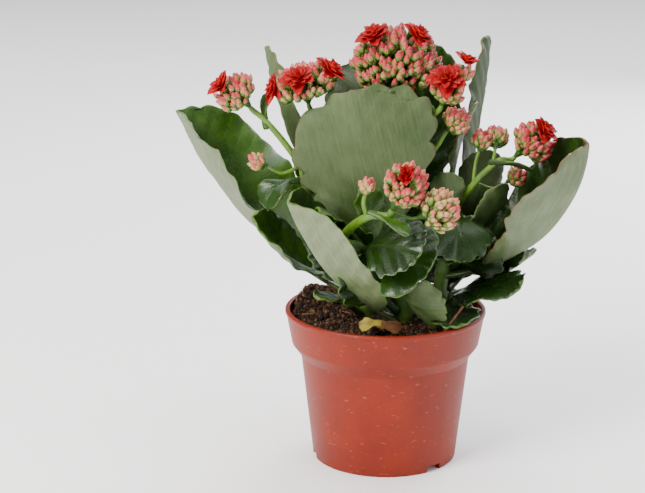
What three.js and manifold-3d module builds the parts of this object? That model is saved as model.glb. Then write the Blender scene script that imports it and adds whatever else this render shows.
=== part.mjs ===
// Potted kalanchoe: a round nursery pot of soil with four leafy shoots, flower stalks,
// heads of buds and open double flowers. Millimetres, +Z up, -Y is the front.
// The origin is the centre of the pot's underside.
import * as THREE from "three";
import * as BufferGeometryUtils from "three/addons/utils/BufferGeometryUtils.js";
import Module from "manifold-3d";

const wasm = await Module();
wasm.setup();

// ---------- driving dimensions ----------
const gap = 0.3; // clearance between pieces that touch

const potHeight = 80.4;
const rimRadius = 52.5; // outside of the lip
const lipHeight = 2.4;
const lipWidth = 2.6;
const lipProud = 0.6; // how far the lip stands out from the collar
const collarHeight = 18; // lip down to the collar's lower edge
const collarDraft = 2.9; // the collar is this much narrower at its lower edge
const stepHeight = 6.5; // slope from the collar in to the wall
const stepWidth = 4.8;
const footRadius = 37.8;
const potWall = 1.4;
const floorThickness = 1.8;
const footRise = 3.2; // height of the raised channel under the floor
const footRingWidth = 2.4;
const discRadius = 18; // flat disc in the middle of the underside
const holeCount = 8;
const holeRadius = 3;
const notchCount = 3; // drainage notches through the foot ring
const notchWidth = 9;
const notchTurn = 43; // degrees from the front to the first notch

const soilDrop = 5.4; // lip down to the soil
const moundHeight = 11; // soil heaped against the back left of the pot
const moundPlace = [-38, 15];
const moundSpread = 11;

const plantScale = 1; // whole plant above the soil
const rootDepth = 30; // how far the shoots go down into the soil
const leafThickness = 1.7;
const petioleThickness = 2.6;
const petioleHalfWidth = 2.2;
const bractThickness = 1.1;
const budLump = 0.12; // height of the bud lumps on a head, as a share of its radius
const flowerRadius = 9.5;
const flowerHeight = 8;
const flowerSink = 5; // how deep a flower sits among the buds of its head

// ---------- shoots: points up the axis, radius at the soil and at the top ----------
const shoots = {
  front: { axis: [[10, -10, 0], [7, -14, 18], [-4, -23, 35], [-19, -36, 49]], radii: [4.6, 2.8] },
  back: { axis: [[2, 12, 0], [1, 11, 30], [2, 8, 62]], radii: [5, 3.2] },
  left: { axis: [[-9, 2, 0], [-19, 0, 28], [-38, -5, 57], [-43, -8, 79]], radii: [4.4, 2.2] },
  right: { axis: [[27, 5, 0], [31, 4, 30], [37, 2, 58]], radii: [4.6, 2.8] },
};

// ---------- leaves ----------
// name, shoot, height on it, tip, way the upper side looks, width, bow of the midrib,
// fold of the two halves (degrees, rising from the midrib) and cup (more rise at the margin)
const leaves = [
  ["leaf_left_large", "left", 12, [-112, 40, 102], [0.6, -0.18, 0.77], 82, -13, 40, -6],
  ["leaf_left_lower", "left", 24, [-67, -28, 60], [0.6, -0.35, 0.75], 32, -8, 32, 0],
  ["leaf_left_edge", "left", 40, [-64, 36, 137], [1, 0.4, 0.2], 28, -4, 10, 10],
  ["leaf_left_drooping", "left", 76, [-61, -17, 62], [-0.5, -0.5, 0.7], 20, 4, 10, 10],
  ["leaf_left_inner", "left", 42, [-24, -8, 80], [-0.2, -0.9, 0.3], 30, -2, 8, 15],
  ["leaf_left_sprout", "left", 6, [-36, -25, 18], [-0.3, -0.5, 0.8], 12, 2, 8, 8],
  ["leaf_left_upper", "left", 60, [-42, 2, 91], [0.2, -0.95, 0.1], 16, -2, 10, 10],
  ["leaf_front_tall", "front", 26, [-18, -20, 123], [0.05, 1, 0.25], 76, -5, 4, 12],
  ["leaf_front_low", "front", 5, [-47, -54, 74], [0.79, 0.13, 0.6], 54, -8, 46, -5],
  ["leaf_front_round", "front", 45, [17, -66, 52], [-0.1, -0.75, 0.65], 34, 5, 5, -10],
  ["leaf_front_under", "front", 34, [22, -56, 42], [-0.1, -0.75, 0.6], 42, 6, 5, -10],
  ["leaf_front_pale", "front", 22, [30, -42, 18], [0.35, 0.85, 0.4], 30, -6, 8, 5],
  ["leaf_front_small_a", "front", 45, [-34, -41, 68], [-0.7, -0.5, 0.2], 12, -2, 12, 10],
  ["leaf_front_small_b", "front", 38, [-10, -32, 79], [0.4, -0.9, 0.2], 16, -2, 12, 10],
  ["leaf_back_tall", "back", 42, [-17, 25, 131], [0.1, 1, 0.1], 42, -4, 5, 10],
  ["leaf_back_right", "back", 32, [23, 36, 139], [-0.2, -0.9, 0.3], 46, -8, 10, 10],
  ["leaf_back_left", "back", 20, [-34, 72, 84], [0.3, -0.6, 0.7], 54, -8, 14, 8],
  ["leaf_back_low", "back", 8, [22, 76, 50], [-0.1, -0.5, 0.9], 50, -6, 14, 6],
  ["leaf_right_large", "right", 24, [99, -30, 99], [-0.71, -0.03, 0.7], 78, -18, 46, -8],
  ["leaf_right_low", "right", 9, [67, -34, 26], [0.1, -0.45, 0.9], 36, 5, 8, -14],
  ["leaf_right_side", "right", 12, [79, 14, 34], [-0.2, 0.1, 1], 26, -3, 14, 8],
  ["leaf_right_round", "right", 54, [35, -28, 38], [0.1, -0.6, 0.8], 34, 10, 6, -8],
  ["leaf_right_upper", "right", 38, [54, 12, 87], [-0.2, 0.95, 0.2], 26, -2, 6, 12],
  ["leaf_right_small", "right", 34, [60, -12, 75], [-0.5, 0.7, 0.4], 18, -2, 8, 8],
  ["leaf_right_pale", "right", 56, [31, -10, 80], [0.2, 0.9, 0.3], 18, -3, 8, 10],
  ["leaf_right_tall", "right", 34, [53, 52, 141], [-1, 0.3, 0.1], 32, -4, 8, 10],
  ["leaf_right_edge", "right", 52, [46, 8, 113], [-1, 0.2, 0.1], 16, 5, 8, 8],
];

// ---------- flower heads: one or two lobes, each with its centre, axis, width and height ----------
const heads = {
  bud_head_left: [[[-76, -12, 121], [-0.62, -0.2, 0.76], 22, 20]],
  bud_head_upper_left: [[[-42, -7, 125], [-0.2, -0.1, 0.97], 34, 20]],
  bud_head_top: [[[4, 0, 133], [0.05, -0.05, 1], 44, 40]],
  bud_head_upper_right: [
    [[30, -22, 125], [0.3, -0.35, 0.87], 18, 19],
    [[38, -14, 133], [0.4, 0, 0.9], 12, 13],
  ],
  bud_head_middle: [[[35, -11, 107], [0.6, -0.25, 0.76], 15, 14]],
  bud_head_right: [[[73, -14, 97], [0.7, -0.2, 0.7], 22, 22]],
  bud_head_front: [
    [[8.5, -64, 84], [0.4, -0.35, 0.85], 21, 27],
    [[25, -64, 73], [0.85, -0.3, 0.4], 21, 21],
  ],
};

// ---------- open flowers: head, its lobe, and the way each flower faces ----------
const flowers = {
  flower_left: ["bud_head_left", 0, [-0.75, -0.35, 0.55]],
  flower_upper_left_a: ["bud_head_upper_left", 0, [-0.95, -0.3, 0.15]],
  flower_upper_left_b: ["bud_head_upper_left", 0, [-0.2, -0.6, 0.78]],
  flower_upper_left_c: ["bud_head_upper_left", 0, [0.6, -0.1, 0.8]],
  flower_top_a: ["bud_head_top", 0, [-0.45, -0.3, 0.84]],
  flower_top_b: ["bud_head_top", 0, [0.5, -0.25, 0.83]],
  flower_upper_right_a: ["bud_head_upper_right", 0, [-0.1, -0.75, 0.65]],
  flower_upper_right_b: ["bud_head_upper_right", 1, [0.3, -0.1, 0.95]],
  flower_right: ["bud_head_right", 0, [0.6, -0.5, 0.68]],
  flower_front: ["bud_head_front", 0, [-0.1, -0.85, 0.5]],
};

// ---------- flower stalks ----------
// shoot and height on it, points on the way, radius at the foot and at the head,
// side branches with small heads of buds, and bracts
const stalks = {
  stalk_left: {
    shoot: "left", height: 79, via: [[-52, -8, 94], [-63, -9, 107]], head: "bud_head_left",
    radii: [1.8, 1.4],
    branches: [{ from: [-44, -8, 82], via: [-53, -12, 79], to: [-62, -14, 84], size: 10 }],
    bracts: [{ from: [-62, -8, 106], tip: [-60, -4, 119], faces: [-0.8, -0.5, 0.2], width: 9 }],
  },
  stalk_upper_left: {
    shoot: "back", height: 49, via: [[-14, 4, 74], [-30, -3, 98]], head: "bud_head_upper_left",
    radii: [1.8, 1.4], branches: [], bracts: [],
  },
  stalk_top_a: {
    shoot: "back", height: 57, via: [[-4, -1, 78], [-7, -1, 96]], end: [-6, 0, 110],
    radii: [1.6, 1.3], branches: [], bracts: [],
  },
  stalk_top_b: {
    shoot: "back", height: 62, via: [[4, 4, 84]], head: "bud_head_top",
    radii: [2.2, 1.8], branches: [], bracts: [],
  },
  stalk_upper_right: {
    shoot: "back", height: 58, via: [[11, 2, 80], [18, -10, 104]], head: "bud_head_upper_right",
    radii: [1.8, 1.4],
    branches: [],
    bracts: [{ from: [18, -10, 103], tip: [18, -18, 118], faces: [0.5, 0.7, 0.1], width: 12 }],
  },
  stalk_middle: {
    shoot: "back", height: 48, via: [[16, -4, 78], [26, -8, 94]], head: "bud_head_middle",
    radii: [1.6, 1.2], branches: [], bracts: [],
  },
  stalk_right: {
    shoot: "right", height: 58, via: [[43, -9, 72], [50, -12, 81], [57, -13, 87]], head: "bud_head_right",
    radii: [1.9, 1.4],
    branches: [
      { from: [53, -12, 84], via: [54, -11, 88], to: [55, -6, 93], size: 13 },
      { from: [44, -9, 73], via: [45, -7, 84], to: [47, -6, 92], size: 11 },
      { from: [45, -9, 74], via: [56, -3, 70], to: [63, -1, 74], size: 11 },
    ],
    bracts: [{ from: [56, -13, 86], tip: [74, -14, 81], faces: [0, 0.3, 0.9], width: 10 }],
  },
  stalk_front: {
    shoot: "front", height: 49, via: [[-16, -48, 61], [-7, -56, 68]], head: "bud_head_front",
    radii: [2.4, 1.9],
    branches: [{ from: [-9, -54, 67], via: [-11, -57, 74], to: [-10, -58, 80], size: 9 }],
    bracts: [{ from: [-5, -57, 69], tip: [11, -66, 61], faces: [0.1, -0.2, 0.9], width: 10 }],
  },
};

// ---------- materials ----------
function finish(color, roughness) {
  return new THREE.MeshStandardMaterial({ color, roughness, metalness: 0 });
}
const terracottaPlastic = finish("#bb563e", 0.45);
const pottingSoil = finish("#3a2418", 0.95);
const greenStem = finish("#5f8a2c", 0.5);
const leafGreen = finish("#3c5f2a", 0.45);
const budPink = finish("#d9787a", 0.5);
const petalRed = finish("#c8141c", 0.5);

// ---------- solids ----------
function toSolid(geometry) {
  const bare = geometry.clone();
  bare.deleteAttribute("normal");
  bare.deleteAttribute("uv");
  const merged = BufferGeometryUtils.mergeVertices(bare, 1e-4);
  const vertProperties = new Float32Array(merged.attributes.position.array);
  const triVerts = new Uint32Array(merged.index.array);
  return new wasm.Manifold(new wasm.Mesh({ numProp: 3, vertProperties, triVerts }));
}

function toGeometry(solid) {
  const mesh = solid.getMesh();
  const geometry = new THREE.BufferGeometry();
  geometry.setAttribute("position", new THREE.BufferAttribute(mesh.vertProperties, 3));
  geometry.setIndex(new THREE.BufferAttribute(mesh.triVerts, 1));
  geometry.computeVertexNormals();
  return geometry;
}

function named(name, geometry, material) {
  const mesh = new THREE.Mesh(geometry, material);
  mesh.name = name;
  return mesh;
}

const vector = ([x, y, z]) => new THREE.Vector3(x, y, z);

// moves every vertex of a geometry: place(x, y, z) gives the new point
function reshape(geometry, place) {
  const position = geometry.attributes.position;
  for (let i = 0; i < position.count; i++) {
    const point = place(position.getX(i), position.getY(i), position.getZ(i));
    position.setXYZ(i, point.x, point.y, point.z);
  }
  geometry.computeVertexNormals();
  return geometry;
}

// a cylinder bent along a curve through the points, with its two radii at the ends
function taperedTube(points, [startRadius, endRadius], sides = 8, steps = 6) {
  const curve = new THREE.CatmullRomCurve3(points);
  const frames = curve.computeFrenetFrames(steps);
  const tube = new THREE.CylinderGeometry(endRadius, startRadius, 1, sides, steps);
  return reshape(tube, (x, y, z) => {
    const step = Math.round((y + 0.5) * steps);
    const centre = curve.getPointAt(step / steps);
    return centre.addScaledVector(frames.normals[step], x).addScaledVector(frames.binormals[step], -z);
  });
}

// ---------- pot ----------
const collarFootZ = potHeight - collarHeight;
const wallTopZ = collarFootZ - stepHeight;
const collarTopRadius = rimRadius - lipProud;
const collarFootRadius = collarTopRadius - collarDraft;
const wallTopRadius = collarFootRadius - stepWidth;
const floorTop = footRise + floorThickness;
const channelOuter = footRadius - footRingWidth;
const channelInner = discRadius + footRise / 2;
const holeCircle = (channelInner + channelOuter) / 2;

// inside of the pot from the middle of its floor up to the collar's top, set in by a clearance
function insideProfile(clearance) {
  return [
    [0, floorThickness + clearance],
    [discRadius - potWall - clearance, floorThickness + clearance],
    [channelInner - potWall - clearance, floorTop + clearance],
    [footRadius - potWall - clearance, floorTop + clearance],
    [wallTopRadius - potWall - clearance, wallTopZ + clearance],
    [collarFootRadius - potWall - clearance, collarFootZ + clearance],
  ];
}

function potShell() {
  const outside = [
    [0, 0],
    [discRadius, 0],
    [channelInner, footRise],
    [channelOuter - potWall / 2, footRise],
    [channelOuter, 0],
    [footRadius, 0],
    [wallTopRadius, wallTopZ],
    [collarFootRadius, collarFootZ],
    [collarTopRadius, potHeight - lipHeight],
    [rimRadius, potHeight - lipHeight * 0.75],
    [rimRadius, potHeight - lipHeight * 0.25],
    [rimRadius - lipWidth * 0.2, potHeight],
    [rimRadius - lipWidth * 0.8, potHeight],
    [rimRadius - lipWidth, potHeight - lipHeight * 0.25],
    [rimRadius - lipWidth, potHeight - lipHeight * 0.75],
    [collarTopRadius - potWall, potHeight - lipHeight],
  ];
  const profile = [...outside, ...insideProfile(0).reverse()];
  const shell = new THREE.LatheGeometry(profile.map(([r, z]) => new THREE.Vector2(r, z)), 40);
  return toSolid(shell.rotateX(Math.PI / 2));
}

function drainageHole(turn) {
  const drill = new THREE.CylinderGeometry(holeRadius, holeRadius, floorTop * 3, 12);
  drill.rotateX(Math.PI / 2).translate(0, -holeCircle, 0).rotateZ(turn);
  return toSolid(drill);
}

function footNotch(turn) {
  const cutter = new THREE.BoxGeometry(notchWidth, footRingWidth * 4, footRise * 2);
  cutter.translate(0, -footRadius, 0).rotateZ(turn);
  return toSolid(cutter);
}

function makePot() {
  let pot = potShell();
  for (let i = 0; i < holeCount; i++) {
    pot = pot.subtract(drainageHole((i / holeCount) * Math.PI * 2));
  }
  for (let i = 0; i < notchCount; i++) {
    const turn = THREE.MathUtils.degToRad(notchTurn) + (i / notchCount) * Math.PI * 2;
    pot = pot.subtract(footNotch(turn));
  }
  return named("pot", toGeometry(pot), terracottaPlastic);
}

// ---------- shoots ----------
const soilLevel = potHeight - soilDrop;

function shootCurve(shoot) {
  return new THREE.CatmullRomCurve3(shoots[shoot].axis.map(vector));
}

// point, tangent and radius where a shoot passes a height above the soil
function placeOnShoot(shoot, height) {
  const curve = shootCurve(shoot);
  let low = 0;
  let high = 1;
  for (let i = 0; i < 30; i++) {
    const middle = (low + high) / 2;
    if (curve.getPointAt(middle).z < height) low = middle;
    else high = middle;
  }
  const [foot, top] = shoots[shoot].radii;
  return {
    point: curve.getPointAt(low),
    tangent: curve.getTangentAt(low),
    radius: THREE.MathUtils.lerp(foot, top, low),
  };
}

// where a leaf or a stalk leaves a shoot on its way to a far point, and the way it sets out;
// its own half width keeps it clear of the shoot's skin
function startFrom(shoot, height, toward, halfWidth) {
  const { point, tangent, radius } = placeOnShoot(shoot, height);
  if (height >= shoots[shoot].axis.at(-1)[2]) {
    return { start: point.addScaledVector(tangent, gap), outward: tangent };
  }
  const outward = toward.clone().sub(point);
  outward.addScaledVector(tangent, -outward.dot(tangent)).normalize();
  return { start: point.addScaledVector(outward, radius + gap + halfWidth), outward };
}

function shootGeometry(shoot, clearance) {
  const { axis, radii } = shoots[shoot];
  const root = vector(axis[0]).setZ(-rootDepth - clearance);
  const points = [root, ...axis.map(vector)];
  return taperedTube(points, radii.map((radius) => radius + clearance), 8, 10);
}

// ---------- soil ----------
const soilRadius = THREE.MathUtils.mapLinear(
  soilLevel, collarFootZ, potHeight, collarFootRadius, collarTopRadius,
) - potWall - gap;

function moundAt(x, y) {
  const [moundX, moundY] = moundPlace;
  const away = Math.hypot(x - moundX, y - moundY) / moundSpread;
  const edge = 1 - Math.min(1, Math.hypot(x, y) / soilRadius) ** 8;
  return moundHeight * Math.exp(-away * away / 2) * edge;
}

function makeSoil() {
  const rings = [0.94, 0.84, 0.7, 0.5, 0.26, 0];
  const top = [[soilRadius, soilLevel], ...rings.map((share) => [soilRadius * share, soilLevel])];
  const profile = [...insideProfile(gap), ...top].map(([r, z]) => new THREE.Vector2(r, z));
  const body = new THREE.LatheGeometry(profile, 36).rotateX(Math.PI / 2);
  reshape(body, (x, y, z) => {
    const rise = z > soilLevel - 0.01 ? moundAt(x, y) : 0;
    return new THREE.Vector3(x, y, z + rise);
  });
  let soil = toSolid(body);
  for (const shoot of Object.keys(shoots)) {
    const room = shootGeometry(shoot, gap / plantScale);
    room.scale(plantScale, plantScale, plantScale).translate(0, 0, soilLevel);
    soil = soil.subtract(toSolid(room));
  }
  return named("soil", toGeometry(soil), pottingSoil);
}

// ---------- leaves ----------
const widestPoint = 0.6 ** 0.75 * 0.4 ** 0.5;

// half width of a blade as a share of its widest, from its foot (0) to its tip (1)
function bladeShare(u) {
  const sweep = (Math.PI / 2) * u;
  return (Math.sin(sweep) ** 1.5 * Math.cos(sweep)) / widestPoint;
}

// a closed grid of blade and petiole, bent along the midrib and folded across it
function leafGeometry({ from, tip, faces, width, bow, fold, cup, thickness, along = 8 }) {
  const chord = tip.clone().sub(from);
  const length = chord.length();
  const lookAlong = faces.clone().addScaledVector(chord, -faces.dot(chord) / length ** 2).normalize();
  const bend = from.clone().add(tip).multiplyScalar(0.5).addScaledVector(lookAlong, bow * 2);
  const midrib = new THREE.QuadraticBezierCurve3(from, bend, tip);
  const petiole = Math.min(0.16, 12 / length); // share of the length that is petiole
  const foldAngle = THREE.MathUtils.degToRad(fold);
  const curl = THREE.MathUtils.degToRad(cup || 0.1) / (width / 2);
  const grid = new THREE.BoxGeometry(1, 1, 1, width > 36 ? 6 : 4, along, 1);
  return reshape(grid, (x, y, z) => {
    const row = (y + 0.5) * along;
    const u = Math.max(0, (row - 1) / (along - 1));
    const t = row < 1 ? row * petiole : petiole + ((1 - petiole) * (1 - Math.cos(Math.PI * u))) / 2;
    const halfWidth = Math.hypot(petioleHalfWidth * (1 - u), (width / 2) * bladeShare(u)) + 0.4 * u;
    const out = Math.abs(x) * 2 * halfWidth;
    const angle = foldAngle + curl * out;
    const tangent = midrib.getTangent(t);
    const up = lookAlong.clone().addScaledVector(tangent, -lookAlong.dot(tangent)).normalize();
    const side = tangent.clone().cross(up).multiplyScalar(Math.sign(x));
    const normal = up.clone().multiplyScalar(Math.cos(angle)).addScaledVector(side, -Math.sin(angle));
    const petioleness = 1 - Math.min(1, t / (petiole * 2));
    const depth = THREE.MathUtils.lerp(thickness, Math.max(thickness, petioleThickness), petioleness);
    return midrib.getPoint(t)
      .addScaledVector(side, (Math.sin(angle) - Math.sin(foldAngle)) / curl)
      .addScaledVector(up, (Math.cos(foldAngle) - Math.cos(angle)) / curl)
      .addScaledVector(x === 0 ? up : normal, z * depth);
  });
}

function makeLeaf([name, shoot, height, tipAt, faces, width, bow, fold, cup]) {
  const tip = vector(tipAt);
  const { start } = startFrom(shoot, height, tip, petioleHalfWidth);
  const shape = { from: start, tip, faces: vector(faces), width, bow, fold, cup, thickness: leafThickness };
  return named(name, leafGeometry(shape), leafGreen);
}

// ---------- flower heads ----------
// directions of evenly spread buds on a ball, as the seeds lie in a sunflower
function budDirections(count) {
  const goldenTurn = Math.PI * (3 - Math.sqrt(5));
  return Array.from({ length: count }, (_, i) => {
    const z = 1 - (2 * (i + 0.5)) / count;
    const r = Math.sqrt(1 - z * z);
    return new THREE.Vector3(r * Math.cos(goldenTurn * i), r * Math.sin(goldenTurn * i), z);
  });
}

function headGeometry({ centre, axis, width, height }, budCount, detail) {
  const buds = budDirections(budCount);
  const ball = new THREE.IcosahedronGeometry(1, detail);
  const turn = new THREE.Quaternion().setFromUnitVectors(new THREE.Vector3(0, 0, 1), axis);
  return reshape(ball, (x, y, z) => {
    const direction = new THREE.Vector3(x, y, z).normalize();
    const nearness = Math.max(...buds.map((bud) => bud.dot(direction)));
    const radius = 1 + budLump * Math.max(0, (nearness - 0.86) / 0.14);
    const taper = 1 + 0.42 * Math.min(0, direction.z); // narrower towards the stalk
    const local = direction.multiplyScalar(radius);
    local.set((local.x * taper * width) / 2, (local.y * taper * width) / 2, (local.z * height) / 2);
    return local.applyQuaternion(turn).add(centre);
  });
}

function lobesOf(name) {
  return heads[name].map(([centre, axis, width, height]) => {
    return { centre: vector(centre), axis: vector(axis).normalize(), width, height };
  });
}

// the last two points of a stalk, straight up into the foot of its head
function endUnder(name, radius) {
  const { centre, axis, height } = lobesOf(name)[0];
  const foot = centre.addScaledVector(axis, (-height / 2) * (1 + budLump) - gap);
  return [foot.clone().addScaledVector(axis, -radius * 1.5), foot];
}

// ---------- open flowers ----------
// a flower's lowest point: it sinks into its head from a plane that touches the head
function flowerFoot(headName, lobe, direction) {
  const { centre, axis, width, height } = lobesOf(headName)[lobe];
  const along = axis.clone().multiplyScalar(direction.dot(axis));
  const across = direction.clone().sub(along);
  const touch = along.multiplyScalar((height / 2) ** 2).addScaledVector(across, (width / 2) ** 2);
  touch.multiplyScalar((1 + budLump) / Math.sqrt(touch.dot(direction)));
  return centre.add(touch).addScaledVector(direction, -flowerSink);
}

function flowerGeometry(name, clearance) {
  const [headName, lobe, facing] = flowers[name];
  const direction = vector(facing).normalize();
  const foot = flowerFoot(headName, lobe, direction).addScaledVector(direction, -clearance * 2);
  const radius = flowerRadius + clearance * 3;
  const profile = [[0, 0], [0.3, 0.1], [1, 0.7], [0.62, 1], [0, 0.9]].map(
    ([r, z]) => new THREE.Vector2(r * radius, z * (flowerHeight + clearance * 2)),
  );
  const rosette = new THREE.LatheGeometry(profile, 16).rotateX(Math.PI / 2);
  const turn = new THREE.Quaternion().setFromUnitVectors(new THREE.Vector3(0, 0, 1), direction);
  return reshape(rosette, (x, y, z) => {
    const petal = 0.9 + 0.1 * Math.cos(8 * Math.atan2(y, x)); // eight outer petal tips
    return new THREE.Vector3(x * petal, y * petal, z).applyQuaternion(turn).add(foot);
  });
}

function makeHead(name) {
  const lobes = lobesOf(name).map((lobe) => toSolid(headGeometry(lobe, 26, lobe.width > 30 ? 3 : 2)));
  let head = lobes.reduce((joined, lobe) => joined.add(lobe));
  for (const [flower, [headName]] of Object.entries(flowers)) {
    if (headName === name) head = head.subtract(toSolid(flowerGeometry(flower, gap)));
  }
  return named(name, toGeometry(head), budPink);
}

// ---------- flower stalks ----------
function bractSolid({ from, tip, faces, width }) {
  const place = { from: vector(from), tip: vector(tip), faces: vector(faces) };
  const blade = { width, bow: 1, fold: 8, cup: 8, thickness: bractThickness, along: 5 };
  return toSolid(leafGeometry({ ...place, ...blade }));
}

function branchSolid({ from, via, to, size }, radius) {
  const twig = toSolid(taperedTube([from, via, to].map(vector), [radius, radius * 0.8], 6, 4));
  const axis = vector(to).sub(vector(via)).normalize();
  const centre = vector(to).addScaledVector(axis, size * 0.4);
  return twig.add(toSolid(headGeometry({ centre, axis, width: size, height: size }, 12, 1)));
}

function makeStalk(name) {
  const { shoot, height, via, head, end, radii, branches, bracts } = stalks[name];
  const { start, outward } = startFrom(shoot, height, vector(via[0]), 0);
  const setOut = start.clone().addScaledVector(outward, radii[0] * 1.5);
  const ending = head ? endUnder(head, radii[1]) : [vector(end)];
  const points = [start, setOut, ...via.map(vector), ...ending];
  let stalk = toSolid(taperedTube(points, radii, 6, 9));
  for (const branch of branches) stalk = stalk.add(branchSolid(branch, radii[1] * 0.7));
  for (const bract of bracts) stalk = stalk.add(bractSolid(bract));
  return named(name, toGeometry(stalk), greenStem);
}

// ---------- assembly ----------
const plant = new THREE.Group();
plant.scale.setScalar(plantScale);
plant.position.z = soilLevel;
for (const shoot of Object.keys(shoots)) {
  plant.add(named(`shoot_${shoot}`, shootGeometry(shoot, 0), greenStem));
}
for (const leaf of leaves) plant.add(makeLeaf(leaf));
for (const name of Object.keys(stalks)) plant.add(makeStalk(name));
for (const name of Object.keys(heads)) plant.add(makeHead(name));
for (const name of Object.keys(flowers)) plant.add(named(name, flowerGeometry(name, 0), petalRed));

const pottedKalanchoe = new THREE.Group();
pottedKalanchoe.add(makePot(), makeSoil(), plant);

export default pottedKalanchoe;
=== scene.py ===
import math

import bpy
import numpy as np
from mathutils import Matrix, Vector, noise


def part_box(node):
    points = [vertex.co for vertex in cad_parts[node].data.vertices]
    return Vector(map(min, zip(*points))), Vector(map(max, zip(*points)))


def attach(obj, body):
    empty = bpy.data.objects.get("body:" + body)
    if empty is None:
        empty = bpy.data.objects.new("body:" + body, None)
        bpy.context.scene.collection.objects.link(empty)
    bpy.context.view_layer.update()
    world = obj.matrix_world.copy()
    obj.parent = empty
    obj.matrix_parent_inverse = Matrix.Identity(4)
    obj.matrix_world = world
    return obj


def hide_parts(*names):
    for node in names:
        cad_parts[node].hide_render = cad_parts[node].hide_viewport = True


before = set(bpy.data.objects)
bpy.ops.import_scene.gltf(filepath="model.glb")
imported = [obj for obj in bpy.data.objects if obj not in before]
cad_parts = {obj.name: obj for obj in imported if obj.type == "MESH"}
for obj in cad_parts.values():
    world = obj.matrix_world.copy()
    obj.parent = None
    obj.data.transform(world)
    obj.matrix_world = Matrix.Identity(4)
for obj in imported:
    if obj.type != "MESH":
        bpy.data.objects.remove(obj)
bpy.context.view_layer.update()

mm = 0.001
scene = bpy.context.scene
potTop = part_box("pot")[1].z / mm
soilDrop = 5.4  # lip down to the soil
soilLevel = potTop - soilDrop
upward = np.array([0.0, 0.0, 1.0])
print("frame loaded:", len(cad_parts), "nodes")


def linear(hexColour):
    # sRGB hex to the linear colour that sockets take
    channels = [int(hexColour[i:i + 2], 16) / 255 for i in (1, 3, 5)]
    return [c / 12.92 if c <= 0.04045 else ((c + 0.055) / 1.055) ** 2.4 for c in channels] + [1]


def addNode(tree, kind, inputs=None, **settings):
    # a node with its settings; an input is a number, a colour or the output that feeds it
    node = tree.nodes.new(kind)
    for name, value in settings.items():
        setattr(node, name, value)
    for key, value in (inputs or {}).items():
        if isinstance(value, bpy.types.NodeSocket):
            tree.links.new(value, node.inputs[key])
        else:
            node.inputs[key].default_value = value
    return node


def startMaterial(name):
    material = bpy.data.materials.new(name)
    material.use_nodes = True
    tree = material.node_tree
    tree.nodes.clear()
    shader = addNode(tree, "ShaderNodeBsdfPrincipled")
    addNode(tree, "ShaderNodeOutputMaterial", {"Surface": shader.outputs[0]})
    return material, tree, shader


def startTree(name, inputs):
    tree = bpy.data.node_groups.new(name, "GeometryNodeTree")
    for label, kind in [("Geometry", "NodeSocketGeometry"), *inputs]:
        tree.interface.new_socket(label, in_out="INPUT", socket_type=kind)
    tree.interface.new_socket("Geometry", in_out="OUTPUT", socket_type="NodeSocketGeometry")
    return tree, addNode(tree, "NodeGroupInput").outputs


def endTree(tree, geometry, material):
    # plain smooth faces in one material
    whole = addNode(tree, "GeometryNodeRealizeInstances", {0: geometry})
    smooth = addNode(tree, "GeometryNodeSetShadeSmooth", {0: whole.outputs[0]})
    painted = addNode(tree, "GeometryNodeSetMaterial", {0: smooth.outputs[0], "Material": material})
    addNode(tree, "NodeGroupOutput", {0: painted.outputs[0]})


def growPiece(name, tree, mesh, choices):
    # runs a node tree on a mesh and keeps the result as a plain mesh
    piece = bpy.data.objects.new(name, mesh)
    scene.collection.objects.link(piece)
    modifier = piece.modifiers.new(tree.name, "NODES")
    modifier.node_group = tree
    for socket in tree.interface.items_tree:
        if socket.in_out == "INPUT" and socket.name in choices:
            modifier[socket.identifier] = choices[socket.name]
    graph = bpy.context.evaluated_depsgraph_get()
    plain = bpy.data.meshes.new_from_object(piece.evaluated_get(graph))
    piece.modifiers.remove(modifier)
    piece.data = plain
    return piece


def plainMesh(name, points, edges=(), faces=(), values=None):
    # points are in millimetres; values are named numbers or vectors, one for each point
    mesh = bpy.data.meshes.new(name)
    mesh.from_pydata((np.asarray(points) * mm).tolist(), list(edges), list(faces))
    for key, numbers in (values or {}).items():
        numbers = np.asarray(numbers, dtype=np.float32)
        isVector = numbers.ndim == 2
        attribute = mesh.attributes.new(key, "FLOAT_VECTOR" if isVector else "FLOAT", "POINT")
        attribute.data.foreach_set("vector" if isVector else "value", numbers.ravel())
    mesh.update()
    return mesh


def addPiece(name, mesh, material=None):
    mesh.shade_smooth()
    if material:
        mesh.materials.append(material)
    piece = bpy.data.objects.new(name, mesh)
    scene.collection.objects.link(piece)
    return piece


def settle(piece, slot, *nodes):
    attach(piece, "root")
    if nodes:
        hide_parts(*nodes)


def unit(vector):
    vector = np.asarray(vector, dtype=float)
    return vector / np.linalg.norm(vector, axis=-1, keepdims=True)


def turnTo(direction):
    # rotation that takes +Z to a direction
    return np.array(Vector((0, 0, 1)).rotation_difference(Vector(unit(direction))).to_matrix())


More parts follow.
